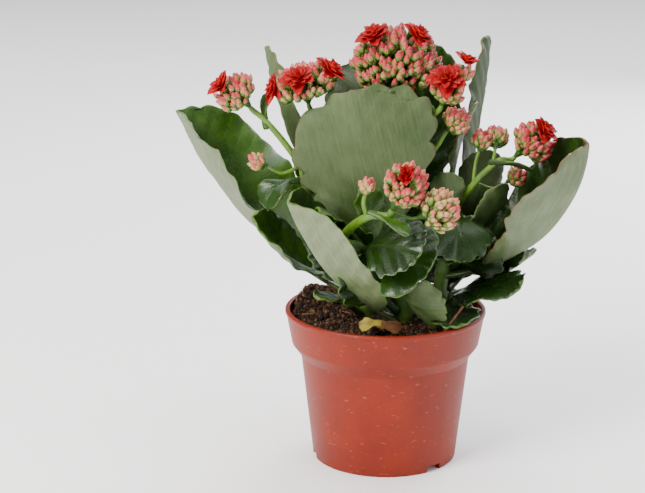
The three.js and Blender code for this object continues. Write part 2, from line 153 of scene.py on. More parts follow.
def smoothPath(points, count):
    # evenly spaced points on a centripetal Catmull-Rom curve through the given ones
    knots = np.array(points, dtype=float)
    knots = np.vstack([2 * knots[0] - knots[1], knots, 2 * knots[-1] - knots[-2]])
    fine = []
    for a, b, c, d in zip(knots, knots[1:], knots[2:], knots[3:]):
        before, here, after = (np.linalg.norm(q - p) ** 0.5 for p, q in ((a, b), (b, c), (c, d)))
        leave = ((b - a) / before - (c - a) / (before + here) + (c - b) / here) * here
        arrive = ((c - b) / here - (d - b) / (here + after) + (d - c) / after) * here
        s = np.linspace(0, 1, 40, endpoint=False)[:, None]
        fine.append(b + leave * s + (3 * (c - b) - 2 * leave - arrive) * s ** 2
                    + (2 * (b - c) + leave + arrive) * s ** 3)
    fine = np.vstack([*fine, knots[-2]])
    arc = np.concatenate([[0], np.cumsum(np.linalg.norm(np.diff(fine, axis=0), axis=1))])
    even = np.linspace(0, arc[-1], count)
    return np.stack([np.interp(even, arc, fine[:, k]) for k in range(3)], axis=1)


def latheMesh(rings, sides):
    # rings are radius, height and lift, which raises every other point; radius 0 is a pole
    points, starts = [], []
    for radius, height, lift in rings:
        starts.append(len(points))
        if radius == 0:
            points.append((0, 0, height))
            continue
        for j in range(sides):
            angle = 2 * math.pi * j / sides
            rise = lift if j % 2 else -lift
            points.append((radius * math.cos(angle), radius * math.sin(angle), height + rise))
    faces = []
    for i in range(len(rings) - 1):
        low = [starts[i] + (j % sides if rings[i][0] else 0) for j in range(sides + 1)]
        high = [starts[i + 1] + (j % sides if rings[i + 1][0] else 0) for j in range(sides + 1)]
        for j in range(sides):
            corners = [low[j], low[j + 1], high[j + 1], high[j]]
            faces.append(list(dict.fromkeys(corners)))
    return np.array(points), faces


# camera
cameraSetup = {"place": (0, -0.850, 0.336), "down": 14.71, "left": 2.22, "lens": 94.4}
cameraData = bpy.data.cameras.new("camera")
cameraData.lens = cameraSetup["lens"]
cameraObject = bpy.data.objects.new("camera", cameraData)
cameraObject.location = cameraSetup["place"]
cameraObject.rotation_euler = (
    math.radians(90 - cameraSetup["down"]), 0, math.radians(cameraSetup["left"]))
scene.collection.objects.link(cameraObject)
scene.camera = cameraObject


# lights: a big soft box from the front left, a fill from the right, one overhead and one behind
lights = {
    "keyLight": {"place": (-0.75, -0.75, 0.85), "size": 0.6, "power": 30, "colour": "#fffaf4"},
    "fillLight": {"place": (0.9, -0.7, 0.5), "size": 0.9, "power": 6, "colour": "#f4f8ff"},
    "topLight": {"place": (0.0, 0.7, 2.0), "size": 3.0, "power": 95, "colour": "#ffffff"},
    "backLight": {"place": (0.5, 0.9, 0.6), "size": 0.7, "power": 10, "colour": "#f2f6ff"},
}
for name, light in lights.items():
    data = bpy.data.lights.new(name, "AREA")
    data.size = light["size"]
    data.energy = light["power"]
    data.color = linear(light["colour"])[:3]
    lamp = bpy.data.objects.new(name, data)
    lamp.location = light["place"]
    aim = Vector((0, 0, 0.11)) - Vector(light["place"])
    lamp.rotation_euler = aim.to_track_quat("-Z", "Y").to_euler()
    scene.collection.objects.link(lamp)

world = bpy.data.worlds.new("studio")
world.use_nodes = True
world.node_tree.nodes["Background"].inputs["Color"].default_value = linear("#f6f8fa")
world.node_tree.nodes["Background"].inputs["Strength"].default_value = 0.42
scene.world = world

# floor: matt white paper
floorPaper, tree, shader = startMaterial("mattWhitePaper")
shader.inputs["Base Color"].default_value = linear("#fbfaf9")
shader.inputs["Roughness"].default_value = 0.9
floorRadius = 9000
ring = [(floorRadius * math.cos(a), floorRadius * math.sin(a), -0.05)
        for a in np.linspace(0, 2 * math.pi, 64, endpoint=False)]
floor = addPiece("floor", plainMesh("floor", ring, faces=[list(range(64))]), floorPaper)
print("stage set")


# moulded polypropylene: satin, slightly mottled, with dust and fine scratches from handling
pottingPlastic, tree, shader = startMaterial("mouldedPolypropylene")
place = addNode(tree, "ShaderNodeTexCoord").outputs["Object"]
cloud = addNode(tree, "ShaderNodeTexNoise", {"Vector": place, "Scale": 38, "Detail": 6,
                                             "Roughness": 0.65})
tint = addNode(tree, "ShaderNodeValToRGB", {0: cloud.outputs[0]})
tint.color_ramp.elements[0].position = 0.32
tint.color_ramp.elements[0].color = linear("#6c1804")
tint.color_ramp.elements[1].position = 0.72
tint.color_ramp.elements[1].color = linear("#842206")
# scuffs: long thin marks round the pot, about 0.4 mm wide
stretched = addNode(tree, "ShaderNodeMapping", {"Vector": place, "Rotation": (0.5, 0.35, 0.2),
                                                "Scale": (260, 60, 900)})
scuff = addNode(tree, "ShaderNodeTexNoise", {"Vector": stretched.outputs[0], "Scale": 1, "Detail": 3})
scuffMask = addNode(tree, "ShaderNodeMapRange", {0: scuff.outputs[0], 1: 0.66, 2: 0.74, 3: 0, 4: 0.5})
speck = addNode(tree, "ShaderNodeTexVoronoi", {"Vector": place, "Scale": 330, "Randomness": 1})
speckMask = addNode(tree, "ShaderNodeMapRange", {0: speck.outputs["Distance"], 1: 0.1, 2: 0.2, 3: 0.6,
                                                 4: 0})
patch = addNode(tree, "ShaderNodeTexNoise", {"Vector": place, "Scale": 55, "Detail": 2})
patchMask = addNode(tree, "ShaderNodeMapRange", {0: patch.outputs[0], 1: 0.6, 2: 0.7, 3: 0, 4: 0.7})
dusty = addNode(tree, "ShaderNodeMath", {0: speckMask.outputs[0], 1: patchMask.outputs[0]},
                operation="MULTIPLY")
worn = addNode(tree, "ShaderNodeMath", {0: scuffMask.outputs[0], 1: dusty.outputs[0]},
               operation="MAXIMUM")
scuffed = addNode(tree, "ShaderNodeMix", {0: worn.outputs[0], 6: tint.outputs[0], 7: linear("#b86850")},
                  data_type="RGBA")
# peat smeared inside the lip and just below it
height = addNode(tree, "ShaderNodeSeparateXYZ", {0: place})
nearLip = addNode(tree, "ShaderNodeMapRange", {0: height.outputs["Z"], 1: 0.069, 2: 0.079, 3: 0, 4: 1})
smear = addNode(tree, "ShaderNodeTexNoise", {"Vector": place, "Scale": 90, "Detail": 5, "Roughness": 0.7})
smearMask = addNode(tree, "ShaderNodeMapRange", {0: smear.outputs[0], 1: 0.58, 2: 0.68, 3: 0, 4: 0.75})
smeared = addNode(tree, "ShaderNodeMath", {0: smearMask.outputs[0], 1: nearLip.outputs[0]},
                  operation="MULTIPLY")
soiled = addNode(tree, "ShaderNodeMix", {0: smeared.outputs[0], 6: scuffed.outputs[2],
                                         7: linear("#2c150c")},
                 data_type="RGBA")
tree.links.new(soiled.outputs[2], shader.inputs["Base Color"])
dull = addNode(tree, "ShaderNodeMapRange", {0: cloud.outputs[0], 1: 0.3, 2: 0.7, 3: 0.42, 4: 0.54})
tree.links.new(dull.outputs[0], shader.inputs["Roughness"])
shader.inputs["Specular IOR Level"].default_value = 0.28
grain = addNode(tree, "ShaderNodeTexNoise", {"Vector": place, "Scale": 1500, "Detail": 2})
uneven = addNode(tree, "ShaderNodeMath", {0: grain.outputs[0], 1: worn.outputs[0]}, operation="ADD")
bump = addNode(tree, "ShaderNodeBump", {"Strength": 0.12, "Distance": 0.0003,
                                        "Height": uneven.outputs[0]})
tree.links.new(bump.outputs[0], shader.inputs["Normal"])


# loose peat mix: dark, dull and crumbly, with straw and bark in it
def peatMaterial(name, colours, bumpHeight):
    material, tree, shader = startMaterial(name)
    place = addNode(tree, "ShaderNodeTexCoord").outputs["Object"]
    coarse = addNode(tree, "ShaderNodeTexNoise", {"Vector": place, "Scale": 160, "Detail": 8,
                                                  "Roughness": 0.7})
    tone = addNode(tree, "ShaderNodeAttribute", attribute_name="crumbTone").outputs["Fac"]
    level = addNode(tree, "ShaderNodeMath", {0: tone, 1: coarse.outputs[0]}, operation="ADD")
    share = addNode(tree, "ShaderNodeMapRange", {0: level.outputs[0], 1: 0.25, 2: 1.35, 3: 0, 4: 1})
    ramp = addNode(tree, "ShaderNodeValToRGB", {0: share.outputs[0]})
    ramp.color_ramp.elements[0].color = linear(colours[0])
    ramp.color_ramp.elements[1].color = linear(colours[-1])
    for i, colour in enumerate(colours[1:-1], 1):
        ramp.color_ramp.elements.new(i / (len(colours) - 1)).color = linear(colour)
    tree.links.new(ramp.outputs[0], shader.inputs["Base Color"])
    shader.inputs["Roughness"].default_value = 0.95
    shader.inputs["Specular IOR Level"].default_value = 0.25
    bump = addNode(tree, "ShaderNodeBump", {"Strength": 0.9, "Distance": bumpHeight,
                                            "Height": coarse.outputs[0]})
    tree.links.new(bump.outputs[0], shader.inputs["Normal"])
    return material


dampPeat = peatMaterial("dampPeat", ["#0b0705", "#18100b", "#291a12", "#402b1d"], 0.002)
peatCrumb = peatMaterial("peatCrumb", ["#100906", "#22140d", "#3d281b", "#6e4e34"], 0.001)
strawFibre = peatMaterial("strawFibre", ["#2f1b0e", "#5a381d", "#8a5c30", "#ac8250"], 0.0003)


# succulent leaf: waxy and glossy above, matt and pale below, with sunk veins and a margin band that is
# red on red-edged leaves and a lighter green painted highlight on the others
leafSkin, tree, shader = startMaterial("succulentLeafSkin")
# mm across, mm along, 1 above
where = addNode(tree, "ShaderNodeAttribute", attribute_name="leafPlace").outputs["Vector"]
# pale, fresh, red
looks = addNode(tree, "ShaderNodeAttribute", attribute_name="leafLook").outputs["Vector"]
fromRim = addNode(tree, "ShaderNodeAttribute", attribute_name="rimDistance").outputs["Fac"]  # mm
place = addNode(tree, "ShaderNodeTexCoord").outputs["Object"]
spot = addNode(tree, "ShaderNodeSeparateXYZ", {0: where})
look = addNode(tree, "ShaderNodeSeparateXYZ", {0: looks})
above = addNode(tree, "ShaderNodeMapRange", {0: spot.outputs["Z"], 1: 0.4, 2: 0.6, 3: 0, 4: 1}).outputs[0]
# side veins leave the midrib about 11 mm apart and sweep towards the tip
across = addNode(tree, "ShaderNodeMath", {0: spot.outputs["X"]}, operation="ABSOLUTE").outputs[0]
bowed = addNode(tree, "ShaderNodeMath", {0: across, 1: 0.86}, operation="POWER").outputs[0]
swept = addNode(tree, "ShaderNodeMath", {0: bowed, 1: -1.5, 2: spot.outputs["Y"]},
                operation="MULTIPLY_ADD").outputs[0]
stray = addNode(tree, "ShaderNodeTexNoise", {"Vector": place, "Scale": 45, "Detail": 2}).outputs[0]
wandered = addNode(tree, "ShaderNodeMath", {0: stray, 1: 7, 2: swept},
                   operation="MULTIPLY_ADD").outputs[0]
folded = addNode(tree, "ShaderNodeMath", {0: wandered, 1: 5.5}, operation="PINGPONG").outputs[0]
sideVein = addNode(tree, "ShaderNodeMapRange", {0: folded, 1: 0, 2: 1.3, 3: 1, 4: 0},
                   interpolation_type="SMOOTHSTEP").outputs[0]
midVein = addNode(tree, "ShaderNodeMapRange", {0: across, 1: 0.3, 2: 1.8, 3: 1, 4: 0},
                  interpolation_type="SMOOTHSTEP").outputs[0]
sideFaint = addNode(tree, "ShaderNodeMath", {0: sideVein, 1: 0.55}, operation="MULTIPLY").outputs[0]
vein = addNode(tree, "ShaderNodeMath", {0: sideFaint, 1: midVein}, operation="MAXIMUM").outputs[0]
# upper side
mottle = addNode(tree, "ShaderNodeTexNoise", {"Vector": place, "Scale": 60, "Detail": 5,
                                              "Roughness": 0.6}).outputs[0]
mottled = addNode(tree, "ShaderNodeMapRange", {0: mottle, 1: 0.3, 2: 0.7, 3: -0.16, 4: 0.16}).outputs[0]
freshness = addNode(tree, "ShaderNodeMath", {0: look.outputs["Y"], 1: mottled}, operation="ADD",
                    use_clamp=True).outputs[0]
upperRamp = addNode(tree, "ShaderNodeValToRGB", {0: freshness})
upperRamp.color_ramp.elements[0].color = linear("#0a1603")
upperRamp.color_ramp.elements[1].color = linear("#486f0a")
upperRamp.color_ramp.elements.new(0.5).color = linear("#1c3a04")
veinTint = addNode(tree, "ShaderNodeMath", {0: vein, 1: 0.12}, operation="MULTIPLY").outputs[0]
upperColour = addNode(tree, "ShaderNodeMix", {0: veinTint, 6: upperRamp.outputs[0], 7: linear("#355a10")},
                      data_type="RGBA").outputs[2]
# lower side, with fine streaks along the blade
alongBlade = addNode(tree, "ShaderNodeMapping", {"Vector": where, "Scale": (0.9, 0.06, 1)})
streak = addNode(tree, "ShaderNodeTexNoise", {"Vector": alongBlade.outputs[0], "Scale": 1, "Detail": 5,
                                              "Roughness": 0.7}).outputs[0]
streaked = addNode(tree, "ShaderNodeMapRange", {0: streak, 1: 0.3, 2: 0.7, 3: -0.12, 4: 0.12}).outputs[0]
blotched = addNode(tree, "ShaderNodeMath", {0: mottled, 1: 0.8, 2: streaked},
                   operation="MULTIPLY_ADD").outputs[0]
# painted shade: the lower side grows darker and greener towards the foot of the blade, where it runs in
# under the plant
paintedFootShade = addNode(tree, "ShaderNodeMapRange", {0: spot.outputs["Y"], 1: 10, 2: 60, 3: -0.22,
                                                 4: 0.04}).outputs[0]
shaded = addNode(tree, "ShaderNodeMath", {0: blotched, 1: paintedFootShade}, operation="ADD").outputs[0]
paleness = addNode(tree, "ShaderNodeMath", {0: look.outputs["X"], 1: shaded}, operation="ADD",
                   use_clamp=True).outputs[0]
lowerRamp = addNode(tree, "ShaderNodeValToRGB", {0: paleness})
lowerRamp.color_ramp.elements[0].color = linear("#1a2a0b")
lowerRamp.color_ramp.elements[1].color = linear("#737f5e")
lowerRamp.color_ramp.elements.new(0.4).color = linear("#384b22")
lowerRamp.color_ramp.elements.new(0.7).color = linear("#505f38")
lowerColour = addNode(tree, "ShaderNodeMix", {0: veinTint, 6: lowerRamp.outputs[0], 7: linear("#425628")},
                      data_type="RGBA").outputs[2]
bladeColour = addNode(tree, "ShaderNodeMix", {0: above, 6: lowerColour, 7: upperColour},
                      data_type="RGBA").outputs[2]
# a few small rust spots
rust = addNode(tree, "ShaderNodeTexVoronoi", {"Vector": place, "Scale": 120, "Randomness": 1})
rustDot = addNode(tree, "ShaderNodeMapRange", {0: rust.outputs["Distance"], 1: 0.05, 2: 0.12, 3: 1,
                                               4: 0}).outputs[0]
rustPick = addNode(tree, "ShaderNodeSeparateXYZ", {0: rust.outputs["Color"]}).outputs[0]
rustSome = addNode(tree, "ShaderNodeMath", {0: rustPick, 1: 0.965}, operation="GREATER_THAN").outputs[0]
rustMask = addNode(tree, "ShaderNodeMath", {0: rustDot, 1: rustSome}, operation="MULTIPLY").outputs[0]
spotted = addNode(tree, "ShaderNodeMix", {0: rustMask, 6: bladeColour, 7: linear("#4c2414")},
                  data_type="RGBA").outputs[2]
# margin: red on leaves whose margin is red; on green leaves the band is a lighter green, a painted
# highlight along the lit edge
rimRedAndPaintedHighlight = addNode(tree, "ShaderNodeMix", {0: look.outputs["Z"], 6: linear("#4a6c18"),
                                          7: linear("#6e3024")},
                  data_type="RGBA").outputs[2]
rimAndHighlightBand = addNode(tree, "ShaderNodeMapRange", {0: fromRim, 1: 0.05, 2: 0.7, 3: 0.7, 4: 0}).outputs[0]
leafColour = addNode(tree, "ShaderNodeMix", {0: rimAndHighlightBand, 6: spotted, 7: rimRedAndPaintedHighlight},
                     data_type="RGBA").outputs[2]
tree.links.new(leafColour, shader.inputs["Base Color"])
smoothness = addNode(tree, "ShaderNodeMapRange", {0: above, 1: 0, 2: 1, 3: 0.56, 4: 0.3}).outputs[0]
blur = addNode(tree, "ShaderNodeMath", {0: mottled, 1: 0.5, 2: smoothness},
               operation="MULTIPLY_ADD").outputs[0]
tree.links.new(blur, shader.inputs["Roughness"])
shader.inputs["IOR"].default_value = 1.45
cells = addNode(tree, "ShaderNodeTexNoise", {"Vector": place, "Scale": 1100, "Detail": 2}).outputs[0]
relief = addNode(tree, "ShaderNodeMath", {0: vein, 1: -0.4, 2: cells},
                 operation="MULTIPLY_ADD").outputs[0]
relief = addNode(tree, "ShaderNodeMath", {0: streak, 1: 0.6, 2: relief},
                 operation="MULTIPLY_ADD").outputs[0]
bump = addNode(tree, "ShaderNodeBump", {"Strength": 0.5, "Distance": 0.0004, "Height": relief})
tree.links.new(bump.outputs[0], shader.inputs["Normal"])


# fleshy green stem: smooth, dull wax, paler where it is young
def stemMaterial(name, dark, light, gloss):
    material, tree, shader = startMaterial(name)
    place = addNode(tree, "ShaderNodeTexCoord").outputs["Object"]
    drawn = addNode(tree, "ShaderNodeMapping", {"Vector": place, "Scale": (1, 1, 0.18)})
    lines = addNode(tree, "ShaderNodeTexNoise", {"Vector": drawn.outputs[0], "Scale": 700,
                                                 "Detail": 3}).outputs[0]
    cloud = addNode(tree, "ShaderNodeTexNoise", {"Vector": place, "Scale": 90, "Detail": 3}).outputs[0]
    both = addNode(tree, "ShaderNodeMath", {0: lines, 1: 0.5, 2: cloud},
                   operation="MULTIPLY_ADD").outputs[0]
    share = addNode(tree, "ShaderNodeMapRange", {0: both, 1: 0.5, 2: 1.0, 3: 0, 4: 1}).outputs[0]
    mixed = addNode(tree, "ShaderNodeMix", {0: share, 6: linear(dark), 7: linear(light)},
                    data_type="RGBA").outputs[2]
    tree.links.new(mixed, shader.inputs["Base Color"])
    shader.inputs["Roughness"].default_value = gloss
    bump = addNode(tree, "ShaderNodeBump", {"Strength": 0.4, "Distance": 0.0003, "Height": lines})
    tree.links.new(bump.outputs[0], shader.inputs["Normal"])
    return material


shootSkin = stemMaterial("fleshyShootSkin", "#223a0e", "#47651f", 0.5)
stalkSkin = stemMaterial("flowerStalkSkin", "#38580f", "#658a26", 0.42)
driedTwig = stemMaterial("driedTwig", "#3c1a10", "#733a26", 0.7)


# buds: green at the calyx, then cream, coral and red as they ripen
budSkin, tree, shader = startMaterial("waxyBudSkin")
part = addNode(tree, "ShaderNodeAttribute", attribute_name="budPart").outputs["Vector"]  # petal, height
ripe = addNode(tree, "ShaderNodeAttribute", attribute_name="ripeness").outputs["Fac"]
place = addNode(tree, "ShaderNodeTexCoord").outputs["Object"]
parts = addNode(tree, "ShaderNodeSeparateXYZ", {0: part})
blush = addNode(tree, "ShaderNodeTexNoise", {"Vector": place, "Scale": 420, "Detail": 3}).outputs[0]
blushed = addNode(tree, "ShaderNodeMapRange", {0: blush, 1: 0.3, 2: 0.7, 3: -0.1, 4: 0.1}).outputs[0]
raised = addNode(tree, "ShaderNodeMapRange", {0: parts.outputs["Y"], 1: 0.3, 2: 0.85, 3: 0.18,
                                              4: 1.08}).outputs[0]
colouring = addNode(tree, "ShaderNodeMath", {0: ripe, 1: raised, 2: blushed},
                    operation="MULTIPLY_ADD").outputs[0]
budRamp = addNode(tree, "ShaderNodeValToRGB", {0: colouring})
budRamp.color_ramp.elements[0].position = 0.05
budRamp.color_ramp.elements[0].color = linear("#6f8030")
budRamp.color_ramp.elements[1].position = 1
budRamp.color_ramp.elements[1].color = linear("#8c0610")
for position, colour in ((0.3, "#b09c60"), (0.5, "#b8624e"), (0.7, "#b02e3c"), (0.88, "#a01424")):
    budRamp.color_ramp.elements.new(position).color = linear(colour)
sepal = addNode(tree, "ShaderNodeMix", {0: parts.outputs["Y"], 6: linear("#2c4e08"),
                                        7: linear("#62841e")},
                data_type="RGBA").outputs[2]
budColour = addNode(tree, "ShaderNodeMix", {0: parts.outputs["X"], 6: sepal, 7: budRamp.outputs[0]},
                    data_type="RGBA").outputs[2]
tree.links.new(budColour, shader.inputs["Base Color"])
shader.inputs["Roughness"].default_value = 0.42
shader.inputs["Subsurface Weight"].default_value = 0.12
shader.inputs["Subsurface Radius"].default_value = (0.0012, 0.0006, 0.0004)
bump = addNode(tree, "ShaderNodeBump", {"Strength": 0.3, "Distance": 0.0003, "Height": blush})
tree.links.new(bump.outputs[0], shader.inputs["Normal"])


# petals: velvety saturated red above, coral on the back with paler streaks up the middle
petalSkin, tree, shader = startMaterial("velvetPetalSkin")
# across, along, 1 inside
onPetal = addNode(tree, "ShaderNodeAttribute", attribute_name="petalPlace").outputs["Vector"]
petal = addNode(tree, "ShaderNodeSeparateXYZ", {0: onPetal})
fanned = addNode(tree, "ShaderNodeMapping", {"Vector": onPetal, "Scale": (5, 1.2, 1)})
place = addNode(tree, "ShaderNodeTexCoord").outputs["Object"]
wander = addNode(tree, "ShaderNodeTexNoise", {"Vector": place, "Scale": 300, "Detail": 2}).outputs[0]
fine = addNode(tree, "ShaderNodeTexNoise", {"Vector": fanned.outputs[0], "Scale": 2.2,
                                            "Detail": 4}).outputs[0]
inside = addNode(tree, "ShaderNodeMapRange", {0: petal.outputs["Z"], 1: 0.4, 2: 0.6, 3: 0,
                                              4: 1}).outputs[0]
bright = addNode(tree, "ShaderNodeMapRange", {0: fine, 1: 0.35, 2: 0.65, 3: 0, 4: 1}).outputs[0]
innerRed = addNode(tree, "ShaderNodeMix", {0: bright, 6: linear("#780006"), 7: linear("#a6000a")},
                   data_type="RGBA").outputs[2]
backRed = addNode(tree, "ShaderNodeMix", {0: bright, 6: linear("#a60408"), 7: linear("#bc1612")},
                  data_type="RGBA").outputs[2]
petalTint = addNode(tree, "ShaderNodeMix", {0: inside, 6: backRed, 7: innerRed},
                    data_type="RGBA").outputs[2]
middle = addNode(tree, "ShaderNodeMath", {0: petal.outputs["X"]}, operation="ABSOLUTE").outputs[0]
midStreak = addNode(tree, "ShaderNodeMapRange", {0: middle, 1: 0.04, 2: 0.3, 3: 0.5, 4: 0}).outputs[0]
someStreak = addNode(tree, "ShaderNodeMapRange", {0: wander, 1: 0.5, 2: 0.62, 3: 0, 4: 1}).outputs[0]
streakMask = addNode(tree, "ShaderNodeMath", {0: midStreak, 1: someStreak},
                     operation="MULTIPLY").outputs[0]
petalColour = addNode(tree, "ShaderNodeMix", {0: streakMask, 6: petalTint, 7: linear("#c86a48")},
                      data_type="RGBA").outputs[2]
tree.links.new(petalColour, shader.inputs["Base Color"])
shader.inputs["Roughness"].default_value = 0.6
shader.inputs["Specular IOR Level"].default_value = 0.2
bump = addNode(tree, "ShaderNodeBump", {"Strength": 0.35, "Distance": 0.0003, "Height": fine})
tree.links.new(bump.outputs[0], shader.inputs["Normal"])

# withered leaf: yellow going to brown, dry and wrinkled
witheredLeaf, tree, shader = startMaterial("witheredLeaf")
place = addNode(tree, "ShaderNodeTexCoord").outputs["Object"]
decay = addNode(tree, "ShaderNodeTexNoise", {"Vector": place, "Scale": 110, "Detail": 4}).outputs[0]
decayRamp = addNode(tree, "ShaderNodeValToRGB", {0: decay})
decayRamp.color_ramp.elements[0].position = 0.35
decayRamp.color_ramp.elements[0].color = linear("#50361a")
decayRamp.color_ramp.elements[1].position = 0.55
decayRamp.color_ramp.elements[1].color = linear("#8c7c20")
tree.links.new(decayRamp.outputs[0], shader.inputs["Base Color"])
shader.inputs["Roughness"].default_value = 0.7
bump = addNode(tree, "ShaderNodeBump", {"Strength": 0.8, "Distance": 0.001, "Height": decay})
tree.links.new(bump.outputs[0], shader.inputs["Normal"])
print("materials mixed")


# pot, in millimetres
potSizes = {
    "rim": 52.5, "lipHeight": 2.4, "lipWidth": 2.6, "lipProud": 0.6, "collarHeight": 18,
    "collarDraft": 2.9, "stepHeight": 6.5, "stepWidth": 4.8, "foot": 37.8, "wall": 1.4,
    "floor": 1.8, "footRise": 3.2, "footRing": 2.4, "disc": 18, "holes": 8, "hole": 3,
    "notches": 3, "notchWidth": 9, "notchTurn": 43, "sides": 144, "softening": 0.55,
}
collarFootZ = potTop - potSizes["collarHeight"]
wallTopZ = collarFootZ - potSizes["stepHeight"]
collarTop = potSizes["rim"] - potSizes["lipProud"]
collarFoot = collarTop - potSizes["collarDraft"]
wallTop = collarFoot - potSizes["stepWidth"]
floorTop = potSizes["footRise"] + potSizes["floor"]
channelOuter = potSizes["foot"] - potSizes["footRing"]
channelInner = potSizes["disc"] + potSizes["footRise"] / 2
lipZ = potTop - potSizes["lipHeight"]


def softened(profile, size):
    # each corner of a profile becomes a small curve
    soft = [profile[0]]
    for before, corner, after in zip(profile, profile[1:], profile[2:]):
        before, corner, after = (np.array(p, dtype=float) for p in (before, corner, after))
        back, on = before - corner, after - corner
        reach = min(size, 0.42 * np.linalg.norm(back), 0.42 * np.linalg.norm(on))
        start, end = corner + unit(back) * reach, corner + unit(on) * reach
        for s in (0, 0.25, 0.5, 0.75, 1):
            soft.append(tuple((1 - s) ** 2 * start + 2 * s * (1 - s) * corner + s * s * end))
    soft.append(profile[-1])
    return soft


def makePot():
    sizes = potSizes
    wall, rim, lip = sizes["wall"], sizes["rim"], sizes["lipHeight"]
    profile = [
        (0, 0), (sizes["disc"], 0), (channelInner, sizes["footRise"]),
        (channelOuter - wall / 2, sizes["footRise"]), (channelOuter, 0), (sizes["foot"], 0),
        (wallTop, wallTopZ), (collarFoot, collarFootZ), (collarTop, lipZ),
        (rim, potTop - lip * 0.75), (rim, potTop - lip * 0.25),
        (rim - sizes["lipWidth"] * 0.2, potTop), (rim - sizes["lipWidth"] * 0.8, potTop),
        (rim - sizes["lipWidth"], potTop - lip * 0.25), (rim - sizes["lipWidth"], potTop - lip * 0.75),
        (collarTop - wall, lipZ), (collarFoot - wall, collarFootZ), (wallTop - wall, wallTopZ),
        (sizes["foot"] - wall, floorTop), (channelInner - wall, floorTop),
        (sizes["disc"] - wall, sizes["floor"]), (0, sizes["floor"]),
    ]
    rings = [(r, z, 0) for r, z in softened(profile, sizes["softening"])]
    points, faces = latheMesh(rings, sizes["sides"])
    pot = addPiece("nurseryPot", plainMesh("nurseryPot", points, faces=faces), pottingPlastic)
    cutters = []
    for i in range(sizes["holes"]):
        turn = Matrix.Rotation(2 * math.pi * i / sizes["holes"], 3, "Z")
        middle = np.array(turn @ Vector((0, -(channelInner + channelOuter) / 2, 0)))
        drill, drillFaces = latheMesh([(0, -2, 0), (sizes["hole"], -2, 0), (sizes["hole"], 9, 0),
                                       (0, 9, 0)], 24)
        cutters.append((drill + middle, drillFaces))
    for i in range(sizes["notches"]):
        angle = math.radians(sizes["notchTurn"]) + 2 * math.pi * i / sizes["notches"]
        turn = np.array(Matrix.Rotation(angle, 3, "Z"))
        corners = np.array([(x, y, z) for x in (-1, 1) for y in (-1, 1) for z in (-1, 1)], dtype=float)
        corners *= (sizes["notchWidth"] / 2, sizes["footRing"] * 2, sizes["footRise"])
        corners += (0, -sizes["foot"], 0)
        boxFaces = [(0, 1, 3, 2), (4, 6, 7, 5), (0, 4, 5, 1), (2, 3, 7, 6), (0, 2, 6, 4), (1, 5, 7, 3)]
        cutters.append((corners @ turn.T, boxFaces))
    for points, faces in cutters:
        cutter = addPiece("cutter", plainMesh("cutter", points, faces=faces))
        modifier = pot.modifiers.new("cut", "BOOLEAN")
        modifier.operation = "DIFFERENCE"
        modifier.solver = "EXACT"
        modifier.object = cutter
        graph = bpy.context.evaluated_depsgraph_get()
        cut = bpy.data.meshes.new_from_object(pot.evaluated_get(graph))
        pot.modifiers.remove(modifier)
        pot.data = cut
        bpy.data.objects.remove(cutter)
    pot.data.set_sharp_from_angle(angle=math.radians(40))
    return pot


settle(makePot(), "pot_plastic", "pot")
print("pot turned")


# soil: a lumpy body heaped at the back left, with crumbs and fibres on it
soilSizes = {
    "gap": 0.3, "mound": 12, "moundPlace": (-40, 18), "moundSpread": 11, "sides": 150, "rings": 64,
    "lumps": 1.5, "crumbs": 1.15, "crumbSizes": (0.5, 3.6), "crumbLean": 1.5, "fibres": 0.16,
    "fibreSizes": (2.0, 9.0), "fibreLean": 0.35, "seed": 5,
}
soilRadius = (collarFoot + (collarTop - collarFoot) * (soilLevel - collarFootZ) / (potTop - collarFootZ)
              - potSizes["wall"] - soilSizes["gap"])


def soilHeight(x, y):
    mx, my = soilSizes["moundPlace"]
    away = math.hypot(x - mx, y - my) / soilSizes["moundSpread"]
    edge = 1 - min(1, math.hypot(x, y) / soilRadius) ** 30
    lump = noise.fractal(Vector((x, y, 3)) * 0.11, 0.9, 2.1, 4) * soilSizes["lumps"]
    grit = noise.fractal(Vector((x, y, 9)) * 0.6, 0.8, 2.2, 3) * 0.5
    return soilLevel + soilSizes["mound"] * math.exp(-away * away / 2) * edge + lump + grit - 0.3


def makeSoil():
    gap, wall = soilSizes["gap"], potSizes["wall"]
    points, faces = [(0, 0, soilHeight(0, 0))], []
    sides = soilSizes["sides"]
    for i in range(1, soilSizes["rings"] + 1):
        radius = soilRadius * i / soilSizes["rings"]
        for j in range(sides):
            angle = 2 * math.pi * j / sides
            x, y = radius * math.cos(angle), radius * math.sin(angle)
            points.append((x, y, soilHeight(x, y)))
    topCount = len(points)
    under = [(collarFoot - wall - gap, collarFootZ), (wallTop - wall - gap, wallTopZ + gap),
             (potSizes["foot"] - wall - gap, floorTop + gap)]
    for radius, z in under:
        for j in range(sides):
            angle = 2 * math.pi * j / sides
            points.append((radius * math.cos(angle), radius * math.sin(angle), z))
    points.append((0, 0, floorTop + gap))
    for j in range(sides):
        faces.append((0, 1 + j, 1 + (j + 1) % sides))
    ringTotal = soilSizes["rings"] + len(under)
    for i in range(ringTotal - 1):
        a = 1 + i * sides
        for j in range(sides):
            k = (j + 1) % sides
            faces.append((a + j, a + sides + j, a + sides + k, a + k))
    a = 1 + (ringTotal - 1) * sides
    for j in range(sides):
        faces.append((a + j, len(points) - 1, a + (j + 1) % sides))
    return points, faces, topCount


soilPoints, soilFaces, topCount = makeSoil()
soil = addPiece("pottingSoil", plainMesh("pottingSoil", soilPoints, faces=soilFaces), dampPeat)
settle(soil, "potting_soil", "soil")

